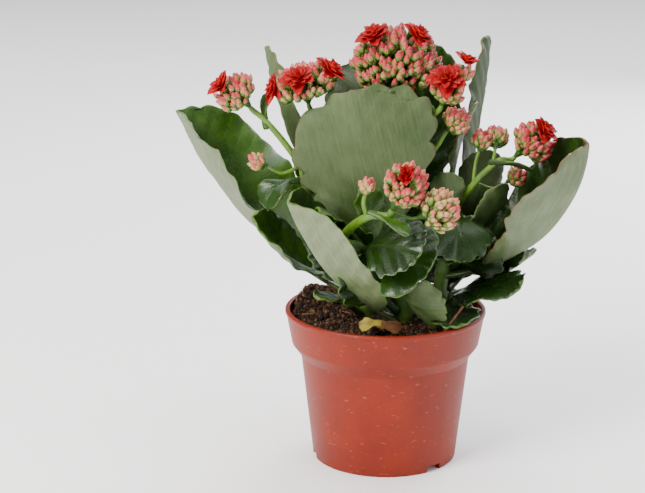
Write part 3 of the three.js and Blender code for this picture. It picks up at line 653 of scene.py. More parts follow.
# tree: strews one small shape over a surface, turned and sized at random
strewTree, group = startTree("strewPieces", [
    ("Shape", "NodeSocketObject"), ("Density", "NodeSocketFloat"), ("Smallest", "NodeSocketFloat"),
    ("Largest", "NodeSocketFloat"), ("Lean", "NodeSocketFloat"), ("Seed", "NodeSocketInt"),
    ("Material", "NodeSocketMaterial")])
spread = addNode(strewTree, "GeometryNodeDistributePointsOnFaces",
                 {"Mesh": group["Geometry"], "Density": group["Density"], "Seed": group["Seed"]})
shape = addNode(strewTree, "GeometryNodeObjectInfo", {"Object": group["Shape"]})
tone = addNode(strewTree, "FunctionNodeRandomValue", {2: -0.25, 3: 0.75, "Seed": group["Seed"]})
toned = addNode(strewTree, "GeometryNodeStoreNamedAttribute",
                {"Geometry": spread.outputs[0], "Name": "crumbTone",
                 "Value": tone.outputs[1]}, domain="POINT")
nod = addNode(strewTree, "ShaderNodeMath", {0: group["Lean"], 1: -1}, operation="MULTIPLY")
leanX = addNode(strewTree, "FunctionNodeRandomValue", {2: nod.outputs[0], 3: group["Lean"], "Seed": 11})
leanY = addNode(strewTree, "FunctionNodeRandomValue", {2: nod.outputs[0], 3: group["Lean"], "Seed": 12})
turnZ = addNode(strewTree, "FunctionNodeRandomValue", {2: 0.0, 3: 2 * math.pi, "Seed": 13})
turned = addNode(strewTree, "ShaderNodeCombineXYZ",
                 {0: leanX.outputs[1], 1: leanY.outputs[1], 2: turnZ.outputs[1]})
rotation = addNode(strewTree, "FunctionNodeEulerToRotation", {0: turned.outputs[0]})
evenSize = addNode(strewTree, "FunctionNodeRandomValue", {2: 0.0, 3: 1.0, "Seed": 14})
fewLarge = addNode(strewTree, "ShaderNodeMath", {0: evenSize.outputs[1], 1: 3}, operation="POWER")
size = addNode(strewTree, "ShaderNodeMapRange",
               {0: fewLarge.outputs[0], 1: 0, 2: 1, 3: group["Smallest"], 4: group["Largest"]})
placed = addNode(strewTree, "GeometryNodeInstanceOnPoints",
                 {"Points": toned.outputs[0], "Instance": shape.outputs["Geometry"],
                  "Rotation": rotation.outputs[0], "Scale": size.outputs[0]})
endTree(strewTree, placed.outputs[0], group["Material"])


def crumbShape():
    # a rough lump of about 1 mm
    points, faces = latheMesh([(0, -0.42, 0), (0.45, -0.2, 0.1), (0.5, 0.22, -0.12), (0, 0.4, 0)], 5)
    points *= np.array([1.0, 0.72, 0.8])
    return addPiece("crumbShape", plainMesh("crumbShape", points, faces=faces))


def fibreShape():
    # a bent sliver 1 mm long, lying flat
    spine = np.array([(-0.5, 0, 0), (-0.2, 0.05, 0.03), (0.15, 0.02, 0.05), (0.5, -0.1, 0.02)])
    points, faces = [], []
    for i, centre in enumerate(spine):
        girth = (0.02, 0.035, 0.03, 0.012)[i]
        for j in range(3):
            angle = 2 * math.pi * j / 3
            points.append(centre + (0, girth * math.cos(angle), girth * math.sin(angle)))
    for i in range(3):
        for j in range(3):
            k = (j + 1) % 3
            faces.append((3 * i + j, 3 * i + 3 + j, 3 * i + 3 + k, 3 * i + k))
    faces += [(0, 1, 2), (11, 10, 9)]
    faces = [face[::-1] for face in faces]
    return addPiece("fibreShape", plainMesh("fibreShape", points, faces=faces))


def strew(name, shape, density, smallest, largest, lean, seed, material):
    ground = plainMesh("ground", soilPoints[:topCount],
                       faces=[f for f in soilFaces if max(f) < topCount])
    piece = growPiece(name, strewTree, ground, {
        "Shape": shape, "Density": density, "Smallest": smallest, "Largest": largest,
        "Lean": lean, "Seed": seed, "Material": material})
    bpy.data.objects.remove(shape)
    settle(piece, "potting_soil")
    return piece


strew("soilCrumbs", crumbShape(), soilSizes["crumbs"] / mm ** 2, *soilSizes["crumbSizes"],
      soilSizes["crumbLean"], soilSizes["seed"], peatCrumb)
strew("soilFibres", fibreShape(), soilSizes["fibres"] / mm ** 2, *soilSizes["fibreSizes"],
      soilSizes["fibreLean"], soilSizes["seed"] + 1, strawFibre)
print("soil strewn")


def tubeAlong(tree, lines, sides):
    # a closed tube along each line, as thick as the line's points say
    curve = addNode(tree, "GeometryNodeMeshToCurve", {0: lines})
    girth = addNode(tree, "GeometryNodeInputNamedAttribute", {0: "thickness"}, data_type="FLOAT")
    profile = addNode(tree, "GeometryNodeCurvePrimitiveCircle", {"Resolution": sides, "Radius": 1.0})
    tube = addNode(tree, "GeometryNodeCurveToMesh",
                   {"Curve": curve.outputs[0], "Profile Curve": profile.outputs[0],
                    "Scale": girth.outputs[0],
                    "Fill Caps": True})
    return tube.outputs[0]


# shoots and stalks: tapered tubes along their curves
stemTree, group = startTree("stemAlongPath", [("Sides", "NodeSocketInt"),
                                              ("Material", "NodeSocketMaterial")])
endTree(stemTree, tubeAlong(stemTree, group["Geometry"], group["Sides"]), group["Material"])


def pathsMesh(name, paths):
    # each path is its points and its thickness along them, both in millimetres
    points, edges, girths = [], [], []
    for path, thickness in paths:
        first = len(points)
        points += list(path)
        girths += list(np.asarray(thickness) * mm)
        edges += [(first + i, first + i + 1) for i in range(len(path) - 1)]
    return plainMesh(name, points, edges=edges, values={"thickness": girths})


# axis above the soil, and radius at the foot and at the top
shoots = {
    "front": {"axis": [(10, -10, 0), (7, -14, 18), (-4, -23, 35), (-19, -36, 49)], "radii": (4.6, 2.8)},
    "back": {"axis": [(2, 12, 0), (1, 11, 30), (2, 8, 62)], "radii": (5, 3.2)},
    "left": {"axis": [(-9, 2, 0), (-19, 0, 28), (-38, -5, 57), (-43, -8, 79)], "radii": (4.4, 2.2)},
    "right": {"axis": [(27, 5, 0), (31, 4, 30), (37, 2, 58)], "radii": (4.6, 2.8)},
}

# shoot, height on it, tip, way the upper side looks, width, bow, fold, cup
leaves = {
    "leaf_left_large": ("left", 12, (-112, 40, 102), (0.6, -0.18, 0.77), 82, -13, 40, -6),
    "leaf_left_lower": ("left", 24, (-67, -28, 60), (0.6, -0.35, 0.75), 32, -8, 32, 0),
    "leaf_left_edge": ("left", 40, (-64, 36, 137), (1, 0.4, 0.2), 28, -4, 10, 10),
    "leaf_left_drooping": ("left", 76, (-61, -17, 62), (-0.5, -0.5, 0.7), 20, 4, 10, 10),
    "leaf_left_inner": ("left", 42, (-24, -8, 80), (-0.2, -0.9, 0.3), 30, -2, 8, 15),
    "leaf_left_sprout": ("left", 6, (-36, -25, 18), (-0.3, -0.5, 0.8), 12, 2, 8, 8),
    "leaf_left_upper": ("left", 60, (-42, 2, 91), (0.2, -0.95, 0.1), 16, -2, 10, 10),
    "leaf_front_tall": ("front", 26, (-18, -20, 123), (0.05, 1, 0.25), 76, -5, 4, 12),
    "leaf_front_low": ("front", 5, (-47, -54, 74), (0.79, 0.13, 0.6), 54, -8, 46, -5),
    "leaf_front_round": ("front", 45, (17, -66, 52), (-0.1, -0.75, 0.65), 34, 5, 5, -10),
    "leaf_front_under": ("front", 34, (22, -56, 42), (-0.1, -0.75, 0.6), 42, 6, 5, -10),
    "leaf_front_pale": ("front", 22, (30, -42, 18), (0.35, 0.85, 0.4), 30, -6, 8, 5),
    "leaf_front_small_a": ("front", 45, (-34, -41, 68), (-0.7, -0.5, 0.2), 12, -2, 12, 10),
    "leaf_front_small_b": ("front", 38, (-10, -32, 79), (0.4, -0.9, 0.2), 16, -2, 12, 10),
    "leaf_back_tall": ("back", 42, (-17, 25, 131), (0.1, 1, 0.1), 42, -4, 5, 10),
    "leaf_back_right": ("back", 32, (23, 36, 139), (-0.2, -0.9, 0.3), 46, -8, 10, 10),
    "leaf_back_left": ("back", 20, (-34, 72, 84), (0.3, -0.6, 0.7), 54, -8, 14, 8),
    "leaf_back_low": ("back", 8, (22, 76, 50), (-0.1, -0.5, 0.9), 50, -6, 14, 6),
    "leaf_right_large": ("right", 24, (99, -30, 99), (-0.71, -0.03, 0.7), 78, -18, 46, -8),
    "leaf_right_low": ("right", 9, (67, -34, 26), (0.1, -0.45, 0.9), 36, 5, 8, -14),
    "leaf_right_side": ("right", 12, (79, 14, 34), (-0.2, 0.1, 1), 26, -3, 14, 8),
    "leaf_right_round": ("right", 54, (35, -28, 38), (0.1, -0.6, 0.8), 34, 10, 6, -8),
    "leaf_right_upper": ("right", 38, (54, 12, 87), (-0.2, 0.95, 0.2), 26, -2, 6, 12),
    "leaf_right_small": ("right", 34, (60, -12, 75), (-0.5, 0.7, 0.4), 18, -2, 8, 8),
    "leaf_right_pale": ("right", 56, (31, -10, 80), (0.2, 0.9, 0.3), 18, -3, 8, 10),
    "leaf_right_tall": ("right", 34, (53, 52, 141), (-1, 0.3, 0.1), 32, -4, 8, 10),
    "leaf_right_edge": ("right", 52, (46, 8, 113), (-1, 0.2, 0.1), 16, 5, 8, 8),
}

# pale: how whitish the lower side is; fresh: how light the upper side is; red: margin from a lighter
# green painted highlight to a real red margin; tooth: length and depth of the margin's lobes in mm; wave
# and crinkle: unevenness in mm
leafLooks = {
    "leaf_left_large": {"pale": 0.78, "fresh": 0.64, "red": 0.1, "tooth": (17, 2.0), "wave": 2.0},
    "leaf_left_lower": {"pale": 0.5, "fresh": 0.55, "red": 0.0},
    "leaf_left_edge": {"pale": 0.55, "fresh": 0.3, "red": 0.2},
    "leaf_left_inner": {"pale": 0.5, "fresh": 0.5, "red": 0.0},
    "leaf_front_tall": {"pale": 0.46, "fresh": 0.4, "red": 0.9, "tooth": (17, 4.6), "wave": 0.8,
                        "shoulders": ((2.3, 0.8), (1.5, 0.9))},
    "leaf_front_low": {"pale": 0.86, "fresh": 0.3, "red": 0.1, "tooth": (13, 1.2), "wave": 0.8,
                       "shoulders": ((0.7, 0.6), (0.7, 0.6))},
    "leaf_front_round": {"pale": 0.5, "fresh": 0.2, "red": 0.0, "tooth": (8, 2.0), "wave": 1.2,
                         "crinkle": 0.55},
    "leaf_front_under": {"pale": 0.5, "fresh": 0.42, "red": 0.0, "tooth": (11, 1.4), "wave": 1.0},
    "leaf_front_pale": {"pale": 0.7, "fresh": 0.7, "red": 0.0, "tooth": (6, 3.0), "wave": 0.6},
    "leaf_front_small_a": {"pale": 0.4, "fresh": 0.55, "red": 0.0},
    "leaf_front_small_b": {"pale": 0.4, "fresh": 0.6, "red": 0.0},
    "leaf_back_tall": {"pale": 0.12, "fresh": 0.3, "red": 0.1, "tooth": (12, 2.4), "wave": 1.0},
    "leaf_right_large": {"pale": 0.72, "fresh": 0.35, "red": 1.0, "tooth": (15, 1.9), "wave": 1.6},
    "leaf_right_low": {"pale": 0.5, "fresh": 0.24, "red": 0.0, "tooth": (8, 2.2), "wave": 2.0,
                       "crinkle": 0.6},
    "leaf_right_round": {"pale": 0.4, "fresh": 0.3, "red": 0.0, "tooth": (9, 1.8)},
    "leaf_right_tall": {"pale": 0.28, "fresh": 0.3, "red": 0.7, "tooth": (10, 1.6)},
    "leaf_right_edge": {"pale": 0.58, "fresh": 0.3, "red": 0.4},
    "leaf_right_pale": {"pale": 0.62, "fresh": 0.4, "red": 0.0},
}
usualLook = {"pale": 0.5, "fresh": 0.42, "red": 0.2, "tooth": None, "wave": 0.9, "crinkle": 0.3,
             "shoulders": ((1.5, 1), (1.5, 1))}

leafSizes = {
    "thickness": 1.7, "petioleThickness": 2.6, "petioleHalfWidth": 2.2, "petioleLength": 12,
    "petioleShare": 0.16, "crease": 2.5, "rooted": 5, "gap": 0.3, "rowSpacing": 0.8,
    "columns": (0.03, 0.08, 0.16, 0.27, 0.39, 0.51, 0.62, 0.72, 0.81, 0.88, 0.935, 0.97, 0.99, 1),
    "fewColumns": (0.12, 0.32, 0.54, 0.74, 0.88, 0.96, 1),
}


def onShoot(shoot, height):
    # point, tangent and radius where a shoot passes a height above the soil
    path = smoothPath(shoots[shoot]["axis"], 400)
    i = int(np.clip(np.searchsorted(path[:, 2], height), 1, 399))
    foot, top = shoots[shoot]["radii"]
    return path[i], unit(path[i] - path[i - 1]), foot + (top - foot) * i / 399


def startFrom(shoot, height, toward, halfWidth):
    point, tangent, radius = onShoot(shoot, height)
    if height >= shoots[shoot]["axis"][-1][2]:
        return point + tangent * leafSizes["gap"], tangent
    outward = np.array(toward, dtype=float) - point
    outward = unit(outward - tangent * (outward @ tangent))
    return point + outward * (radius + leafSizes["gap"] + halfWidth), outward


def closedSheet(upper):
    # faces of one skin whose two sides share their border, and which points lie inside it
    rows, columns = upper.shape[:2]
    top = np.arange(rows * columns).reshape(rows, columns)
    inner = np.zeros((rows, columns), dtype=bool)
    inner[1:-1, 1:-1] = True
    bottom = top.copy()
    bottom[inner] = rows * columns + np.arange(inner.sum())
    faces = []
    for grid, step in ((top, 1), (bottom, -1)):
        quads = np.stack([grid[:-1, :-1], grid[:-1, 1:], grid[1:, 1:], grid[1:, :-1]], axis=-1)
        faces += quads.reshape(-1, 4)[:, ::step].tolist()
    return faces, inner


def bothSides(upper, lower, inner):
    upper = upper.copy()
    upper[~inner] = (upper[~inner] + lower[~inner]) / 2
    flat = (-1,) + upper.shape[2:]
    return np.concatenate([upper.reshape(flat), lower[inner].reshape(flat)])


def leafMesh(name, start, tip, faces, width, bow, fold, cup, look, thickness, seed):
    rng = np.random.default_rng(seed)
    sizes = leafSizes
    start, tip, faces = (np.array(v, dtype=float) for v in (start, tip, faces))
    chord = tip - start
    length = np.linalg.norm(chord)
    lookAlong = unit(faces - chord * (faces @ chord) / length ** 2)
    bend = (start + tip) / 2 + lookAlong * bow * 2
    petiole = min(sizes["petioleShare"], sizes["petioleLength"] / length)

    def halfWidthAt(share, low, high):
        peak = math.atan(math.sqrt(low / high))
        rise = (np.sin(np.pi * share / 2) / math.sin(peak)) ** low
        fall = (np.cos(np.pi * share / 2).clip(0) / math.cos(peak)) ** high
        return np.hypot(sizes["petioleHalfWidth"] * (1 - share), width / 2 * rise * fall) + 0.4 * share

    # rows stand at even steps along the margin
    fine = np.linspace(0, 1, 1500)
    fineT = petiole + (1 - petiole) * (1 - np.cos(np.pi * fine)) / 2
    steps = sum(np.hypot(np.diff(halfWidthAt(fine, *shoulder)), np.diff(fineT * length)) / 2
                for shoulder in look["shoulders"])
    margin = np.concatenate([[0], np.cumsum(steps)])
    rows = int(np.clip(margin[-1] / sizes["rowSpacing"], 24, 150))
    u = np.concatenate([np.zeros(8), np.interp(np.linspace(0, margin[-1], rows), margin, fine)])
    footT = np.linspace(-sizes["rooted"] / length, petiole, 8, endpoint=False)
    t = np.concatenate([footT, petiole + (1 - petiole) * (1 - np.cos(np.pi * u[8:])) / 2])

    # lobes along the margin, each rising slowly and ending in a notch towards the tip
    toothLength, toothDepth = look["tooth"] or (np.clip(width * 0.24, 4, 12),
                                                np.clip(width * 0.04, 0.5, 1.8))
    tipness = (u ** 60)[:, None]
    halves, normals, lobes = [], [], []
    for low, high in look["shoulders"]:
        half = halfWidthAt(u, low, high)
        outline = np.stack([half, t * length], axis=1)
        along = np.gradient(outline, axis=0)
        arc = np.concatenate([[0], np.cumsum(np.linalg.norm(np.diff(outline, axis=0), axis=1))])
        toTip = (arc[-1] - arc) / toothLength
        wobble = 0.35 * np.sin(toTip * 1.1 + rng.uniform(0, 6)) + rng.uniform(0, 0.5)
        phase = toTip + wobble * np.clip(toTip, 0, 1) + 0.5
        swell = np.sin(np.pi * (1 - phase % 1) ** 2) ** 0.6
        depth = toothDepth * (0.8 + 0.35 * np.sin(toTip * 2.3 + rng.uniform(0, 6)))
        halves.append(half)
        normals.append(unit(np.stack([along[:, 1], -along[:, 0]], axis=1)))
        lobes.append((swell - 0.7) * depth * np.clip((u - 0.12) / 0.3, 0, 1))

    columns = sizes["columns"] if width > 20 else sizes["fewColumns"]
    v = np.array([-c for c in reversed(columns)] + [0] + list(columns))[None, :]
    onRight = v > 0
    halfWidth = np.where(onRight, halves[1][:, None], halves[0][:, None])
    normal = np.where(onRight[..., None], normals[1][:, None], normals[0][:, None])
    lobe = np.where(onRight, lobes[1][:, None], lobes[0][:, None])
    lobe = lobe * (1 - tipness) + (lobes[0] + lobes[1])[:, None] / 2 * tipness
    reach = np.clip((np.abs(v) - 0.5) / 0.5, 0, 1)
    reach = reach * reach * (3 - 2 * reach)
    reach = 1 - (1 - reach) * (1 - tipness)
    x = v * halfWidth + np.sign(v) * normal[..., 0] * lobe * reach
    y = t[:, None] * length + normal[..., 1] * lobe * reach

    # across the blade: a soft crease at the midrib, then the fold and the cup
    steps = np.linspace(0, np.abs(x).max() + 0.1, 300)
    angles = (math.radians(fold) * (1 - np.exp(-steps / sizes["crease"]))
              + math.radians(cup) / (width / 2) * steps)
    gain = np.diff(steps, prepend=0)
    sideways, upwards = np.cumsum(np.cos(angles) * gain), np.cumsum(np.sin(angles) * gain)
    out = np.abs(x)
    angle = np.interp(out, steps, angles)[..., None]
    sideways, upwards = (np.interp(out, steps, a)[..., None] for a in (sideways, upwards))

    s = (y / length)[..., None]
    spine = (1 - s) ** 2 * start + 2 * s * (1 - s) * bend + s ** 2 * tip
    tangent = unit(2 * (1 - s) * (bend - start) + 2 * s * (tip - bend))
    up = unit(lookAlong - tangent * np.sum(tangent * lookAlong, axis=-1, keepdims=True))
    side = np.cross(tangent, up) * np.where(v < 0, -1, 1)[..., None]
    skin = spine + side * sideways + up * upwards
    outward = up * np.cos(angle) - side * np.sin(angle)

    # uneven blade: a wavy margin and soft quilting between the side veins
    blade = np.clip(u * 3, 0, 1)[:, None] * (1 - tipness)
    wave = look["wave"] * np.abs(v) ** 3 * blade * (
        np.sin(y * 2 * np.pi / (0.45 * width + 14) + rng.uniform(0, 6) + np.sign(v) * 1.3)
        + 0.5 * np.sin(y * 2 * np.pi / (0.19 * width + 7) + rng.uniform(0, 6)))
    quilt = look["crinkle"] * blade * np.sin((y - 1.5 * out ** 0.86) * 2 * np.pi / 11) * np.clip(out / 5,
                                                                                                 0, 1)
    broad = np.array([[noise.noise(Vector((px * 0.03, py * 0.03, seed * 1.7))) for px, py in zip(rx, ry)]
                      for rx, ry in zip(x, y)]) * min(2.2, width * 0.03) * blade
    skin = skin + outward * (wave + quilt + broad)[..., None]

    # thickness: round at the petiole, blunt at the margin, raised midrib below
    stalky = 1 - np.clip(t / (petiole * 2), 0, 1)[:, None]
    depth = thickness + (max(thickness, sizes["petioleThickness"]) - thickness) * stalky
    power = 2 + 6 * (1 - stalky)
    round_ = np.sqrt(np.clip(1 - np.abs(v) ** power, 0, 1)) * np.sqrt(np.clip(1 - u ** 40, 0, 1))[:, None]
    half = (depth / 2 * round_)[..., None]
    rib = (0.75 * np.exp(-(out / 1.3) ** 2) * (1 - u[:, None] ** 2))[..., None]
    groove = (0.3 * np.exp(-(out / 1.1) ** 2) * blade)[..., None]
    upper = skin + outward * (half - groove)
    lower = skin - outward * (half + rib * (half > 0))
    quads, inner = closedSheet(upper)

    rimDistance = np.minimum((1 - np.abs(v)) * halfWidth, (1 - t[:, None]) * length + 0 * v)
    rimDistance = np.where(u[:, None] < 0.08, 5, np.maximum(rimDistance, 0))
    ones = np.ones_like(x)
    tones = np.stack([ones * look["pale"], ones * look["fresh"], ones * look["red"]], axis=-1)
    values = {
        "leafPlace": bothSides(
            np.stack([x, y, ones], axis=-1), np.stack([x, y, 0 * ones], axis=-1), inner),
        "leafLook": bothSides(tones, tones, inner),
        "rimDistance": bothSides(rimDistance, rimDistance, inner),
    }
    points = bothSides(upper, lower, inner) + upward * soilLevel
    return plainMesh(name, points, faces=quads, values=values)


def camel(name):
    head, *rest = name.split("_")
    return head + "".join(word.capitalize() for word in rest)


def growLeaf(name, row, look, seed, *nodes):
    shoot, height, tip, faces, width, bow, fold, cup = row
    start = startFrom(shoot, height, tip, leafSizes["petioleHalfWidth"])[0]
    mesh = leafMesh(name, start, tip, faces, width, bow, fold, cup, look, leafSizes["thickness"], seed)
    settle(addPiece(name, mesh, leafSkin), "leaf_green", *nodes)


shootNodes = {shoot: [] for shoot in shoots}
for seed, (name, row) in enumerate(leaves.items()):
    growLeaf(camel(name), row, {**usualLook, **leafLooks.get(name, {})}, seed, name)
    shootNodes[row[0]].append(row[1])

# small leaves inside the plant, which the frame leaves out; their dark tones are painted shade
innerLeaves = {
    "leafFrontShadow": ("front", 18, (-33, -33, 56), (-0.45, -0.7, 0.5), 34, -3, 10, 8),
    "leafFrontHidden": ("front", 12, (-18, -38, 40), (-0.2, -0.8, 0.5), 34, -3, 10, 6),
    "leafRightDark": ("right", 42, (40, -22, 36), (0.1, -0.8, 0.5), 34, 6, 8, -6),
    "leafRightHidden": ("right", 30, (56, -8, 46), (0.2, -0.8, 0.5), 36, 3, 8, -6),
    "leafSoilRight": ("right", 7, (36, -40, 7), (0, -0.4, 0.9), 30, 3, 12, -8),
    "leafBackShadow": ("back", 26, (8, -14, 66), (0.1, -0.9, 0.3), 40, -2, 8, 8),
    "leafRightBehind": ("back", 12, (38, 14, 48), (0.1, -0.9, 0.4), 46, -3, 8, 6),
    "leafRightFill": ("right", 18, (64, 6, 58), (-0.3, -0.8, 0.5), 48, -3, 8, 6),
}
innerLeafSeed = 40
# lower pale and fresh values than the usual look: painted shade for the inside of the plant
innerShadeLook = {**usualLook, "fresh": 0.22, "pale": 0.2, "red": 0.0, "tooth": (8, 2.2), "crinkle": 0.5}
for seed, (name, row) in enumerate(innerLeaves.items(), innerLeafSeed):
    growLeaf(name, row, innerShadeLook, seed)
print("leaves grown:", len(leaves), "and", len(innerLeaves), "inner ones")

for shoot, sizes in shoots.items():
    path = smoothPath([(sizes["axis"][0][0], sizes["axis"][0][1], -14), *sizes["axis"]], 70)
    share = np.linspace(0, 1, 70)
    foot, top = sizes["radii"]
    girth = foot + (top - foot) * share
    for height in shootNodes[shoot]:
        girth += 0.55 * np.exp(-((path[:, 2] - height) / 2.2) ** 2)  # swollen where a leaf leaves
    girth[-3:] *= (0.9, 0.7, 0.35)
    mesh = pathsMesh(shoot, [(path + upward * soilLevel, girth)])
    stem = growPiece(camel(f"shoot_{shoot}"), stemTree, mesh, {"Sides": 20, "Material": shootSkin})
    settle(stem, "shoot_green", f"shoot_{shoot}")
print("shoots grown")


# heads of buds: lobes of centre, axis, width, height, ripeness
heads = {
    "bud_head_left": [((-76, -12, 121), (-0.62, -0.2, 0.76), 22, 20, 0.72)],
    "bud_head_upper_left": [((-42, -7, 125), (-0.2, -0.1, 0.97), 34, 20, 0.6)],
    "bud_head_top": [((4, 0, 133), (0.05, -0.05, 1), 44, 40, 0.78)],
    "bud_head_upper_right": [((30, -22, 125), (0.3, -0.35, 0.87), 18, 19, 0.6),
                             ((38, -14, 133), (0.4, 0, 0.9), 12, 13, 0.7)],
    "bud_head_middle": [((35, -11, 107), (0.6, -0.25, 0.76), 15, 14, 0.6)],
    "bud_head_right": [((73, -14, 97), (0.7, -0.2, 0.7), 22, 22, 0.85)],
    "bud_head_front": [((8.5, -64, 84), (0.4, -0.35, 0.85), 21, 27, 0.66),
                       ((25, -64, 73), (0.85, -0.3, 0.4), 21, 21, 0.42)],
}

# open flowers: head, lobe, facing, petals, opening and size
flowers = {
    "flower_left": ("bud_head_left", 0, (-0.75, -0.35, 0.55), 20, 0.85, 0.95),
    "flower_upper_left_a": ("bud_head_upper_left", 0, (-0.95, -0.3, 0.15), 18, 1.05, 1.0),
    "flower_upper_left_b": ("bud_head_upper_left", 0, (-0.2, -0.6, 0.78), 30, 1.0, 1.05),
    "flower_upper_left_c": ("bud_head_upper_left", 0, (0.6, -0.1, 0.8), 28, 1.05, 1.05),
    "flower_top_a": ("bud_head_top", 0, (-0.45, -0.3, 0.84), 30, 1.0, 1.05),
    "flower_top_b": ("bud_head_top", 0, (0.5, -0.25, 0.83), 26, 1.0, 1.0),
    "flower_upper_right_a": ("bud_head_upper_right", 0, (-0.1, -0.75, 0.65), 34, 1.05, 1.1),
    "flower_upper_right_b": ("bud_head_upper_right", 1, (0.3, -0.1, 0.95), 16, 0.85, 0.9),
    "flower_right": ("bud_head_right", 0, (0.6, -0.5, 0.68), 20, 0.9, 0.95),
    "flower_front": ("bud_head_front", 0, (-0.1, -0.85, 0.5), 16, 0.5, 0.85),
}
headSizes = {
    "budLength": 6.8, "budWidth": 3.4, "spacing": 4.8, "lump": 0.12, "flowerSink": 5,
    "stem": 0.55, "twig": 0.95, "sides": 8, "seed": 21,
    "knotShare": 0.42, "knotArea": 110, "packing": 1.9,
    "layers": ((1.0, -0.4, 1.0), (0.74, -0.55, 0.78)),  # share of the lobe, lowest bud, size of its buds
}


def flowerPlace(head, lobe, facing):
    # foot of a flower, sunk into its head below the plane that touches it
    centre, axis, width, height = heads[head][lobe][:4]
    axis, facing = unit(axis), unit(facing)
    along = axis * (facing @ axis)
    touch = along * (height / 2) ** 2 + (facing - along) * (width / 2) ** 2
    touch = touch * (1 + headSizes["lump"]) / math.sqrt(touch @ facing)
    return np.array(centre) + touch - facing * headSizes["flowerSink"], facing


def budShape():
    # a pointed ovoid in a cup of four sepals; its length is 1
    half = headSizes["budWidth"] / headSizes["budLength"] / 2
    body = [(0, 0.02, 0), (half * 0.7, 0.16, 0), (half * 0.98, 0.42, 0), (half * 0.92, 0.66, 0),
            (half * 0.5, 0.87, 0), (0, 1, 0)]
    cup = [(0, -0.05, 0), (half * 0.6, 0.0, 0), (half * 1.04, 0.2, 0), (half * 1.16, 0.5, 0.14),
           (half * 0.9, 0.36, 0.1), (0, 0.2, 0)]
    bodyPoints, bodyFaces = latheMesh(body, headSizes["sides"])
    cupPoints, cupFaces = latheMesh(cup, headSizes["sides"])
    points = np.vstack([bodyPoints, cupPoints])
    faces = bodyFaces + [[k + len(bodyPoints) for k in face] for face in cupFaces]
    petal = np.concatenate([np.ones(len(bodyPoints)), np.zeros(len(cupPoints))])
    part = np.stack([petal, points[:, 2], 0 * petal], axis=1)
    return addPiece("budShape", plainMesh("budShape", points, faces=faces, values={"budPart": part}))


# tree: thin stalks along the paths and a bud on every point that has a size
sprayTree, group = startTree("budSpray", [
    ("Bud", "NodeSocketObject"), ("Stalk sides", "NodeSocketInt"), ("Seed", "NodeSocketInt"),
    ("Material", "NodeSocketMaterial")])
stalklets = tubeAlong(sprayTree, group["Geometry"], group["Stalk sides"])
budSize = addNode(sprayTree, "GeometryNodeInputNamedAttribute", {0: "budSize"}, data_type="FLOAT")
hasBud = addNode(sprayTree, "ShaderNodeMath", {0: budSize.outputs[0], 1: 0.0001},
                 operation="GREATER_THAN")
budAim = addNode(sprayTree, "GeometryNodeInputNamedAttribute", {0: "budAim"}, data_type="FLOAT_VECTOR")
aimed = addNode(sprayTree, "FunctionNodeAlignRotationToVector", {"Vector": budAim.outputs[0]}, axis="Z")
spin = addNode(sprayTree, "FunctionNodeRandomValue", {2: 0.0, 3: 2 * math.pi, "Seed": group["Seed"]})
spun = addNode(sprayTree, "FunctionNodeAxisAngleToRotation",
               {"Axis": (0, 0, 1), "Angle": spin.outputs[1]})
turned = addNode(sprayTree, "FunctionNodeRotateRotation",
                 {"Rotation": aimed.outputs[0], "Rotate By": spun.outputs[0]}, rotation_space="LOCAL")
budObject = addNode(sprayTree, "GeometryNodeObjectInfo", {"Object": group["Bud"]})
buds = addNode(sprayTree, "GeometryNodeInstanceOnPoints",
               {"Points": group["Geometry"], "Selection": hasBud.outputs[0],
                "Instance": budObject.outputs["Geometry"], "Rotation": turned.outputs[0],
                "Scale": budSize.outputs[0]})
spray = addNode(sprayTree, "GeometryNodeJoinGeometry", {0: buds.outputs[0]})
sprayTree.links.new(stalklets, spray.inputs[0])
endTree(sprayTree, spray.outputs[0], group["Material"])


def goldenBall(count):
    z = 1 - 2 * (np.arange(count) + 0.5) / count
    turn = math.pi * (3 - math.sqrt(5)) * np.arange(count)
    r = np.sqrt(1 - z * z)
    return np.stack([r * np.cos(turn), r * np.sin(turn), z], axis=1)


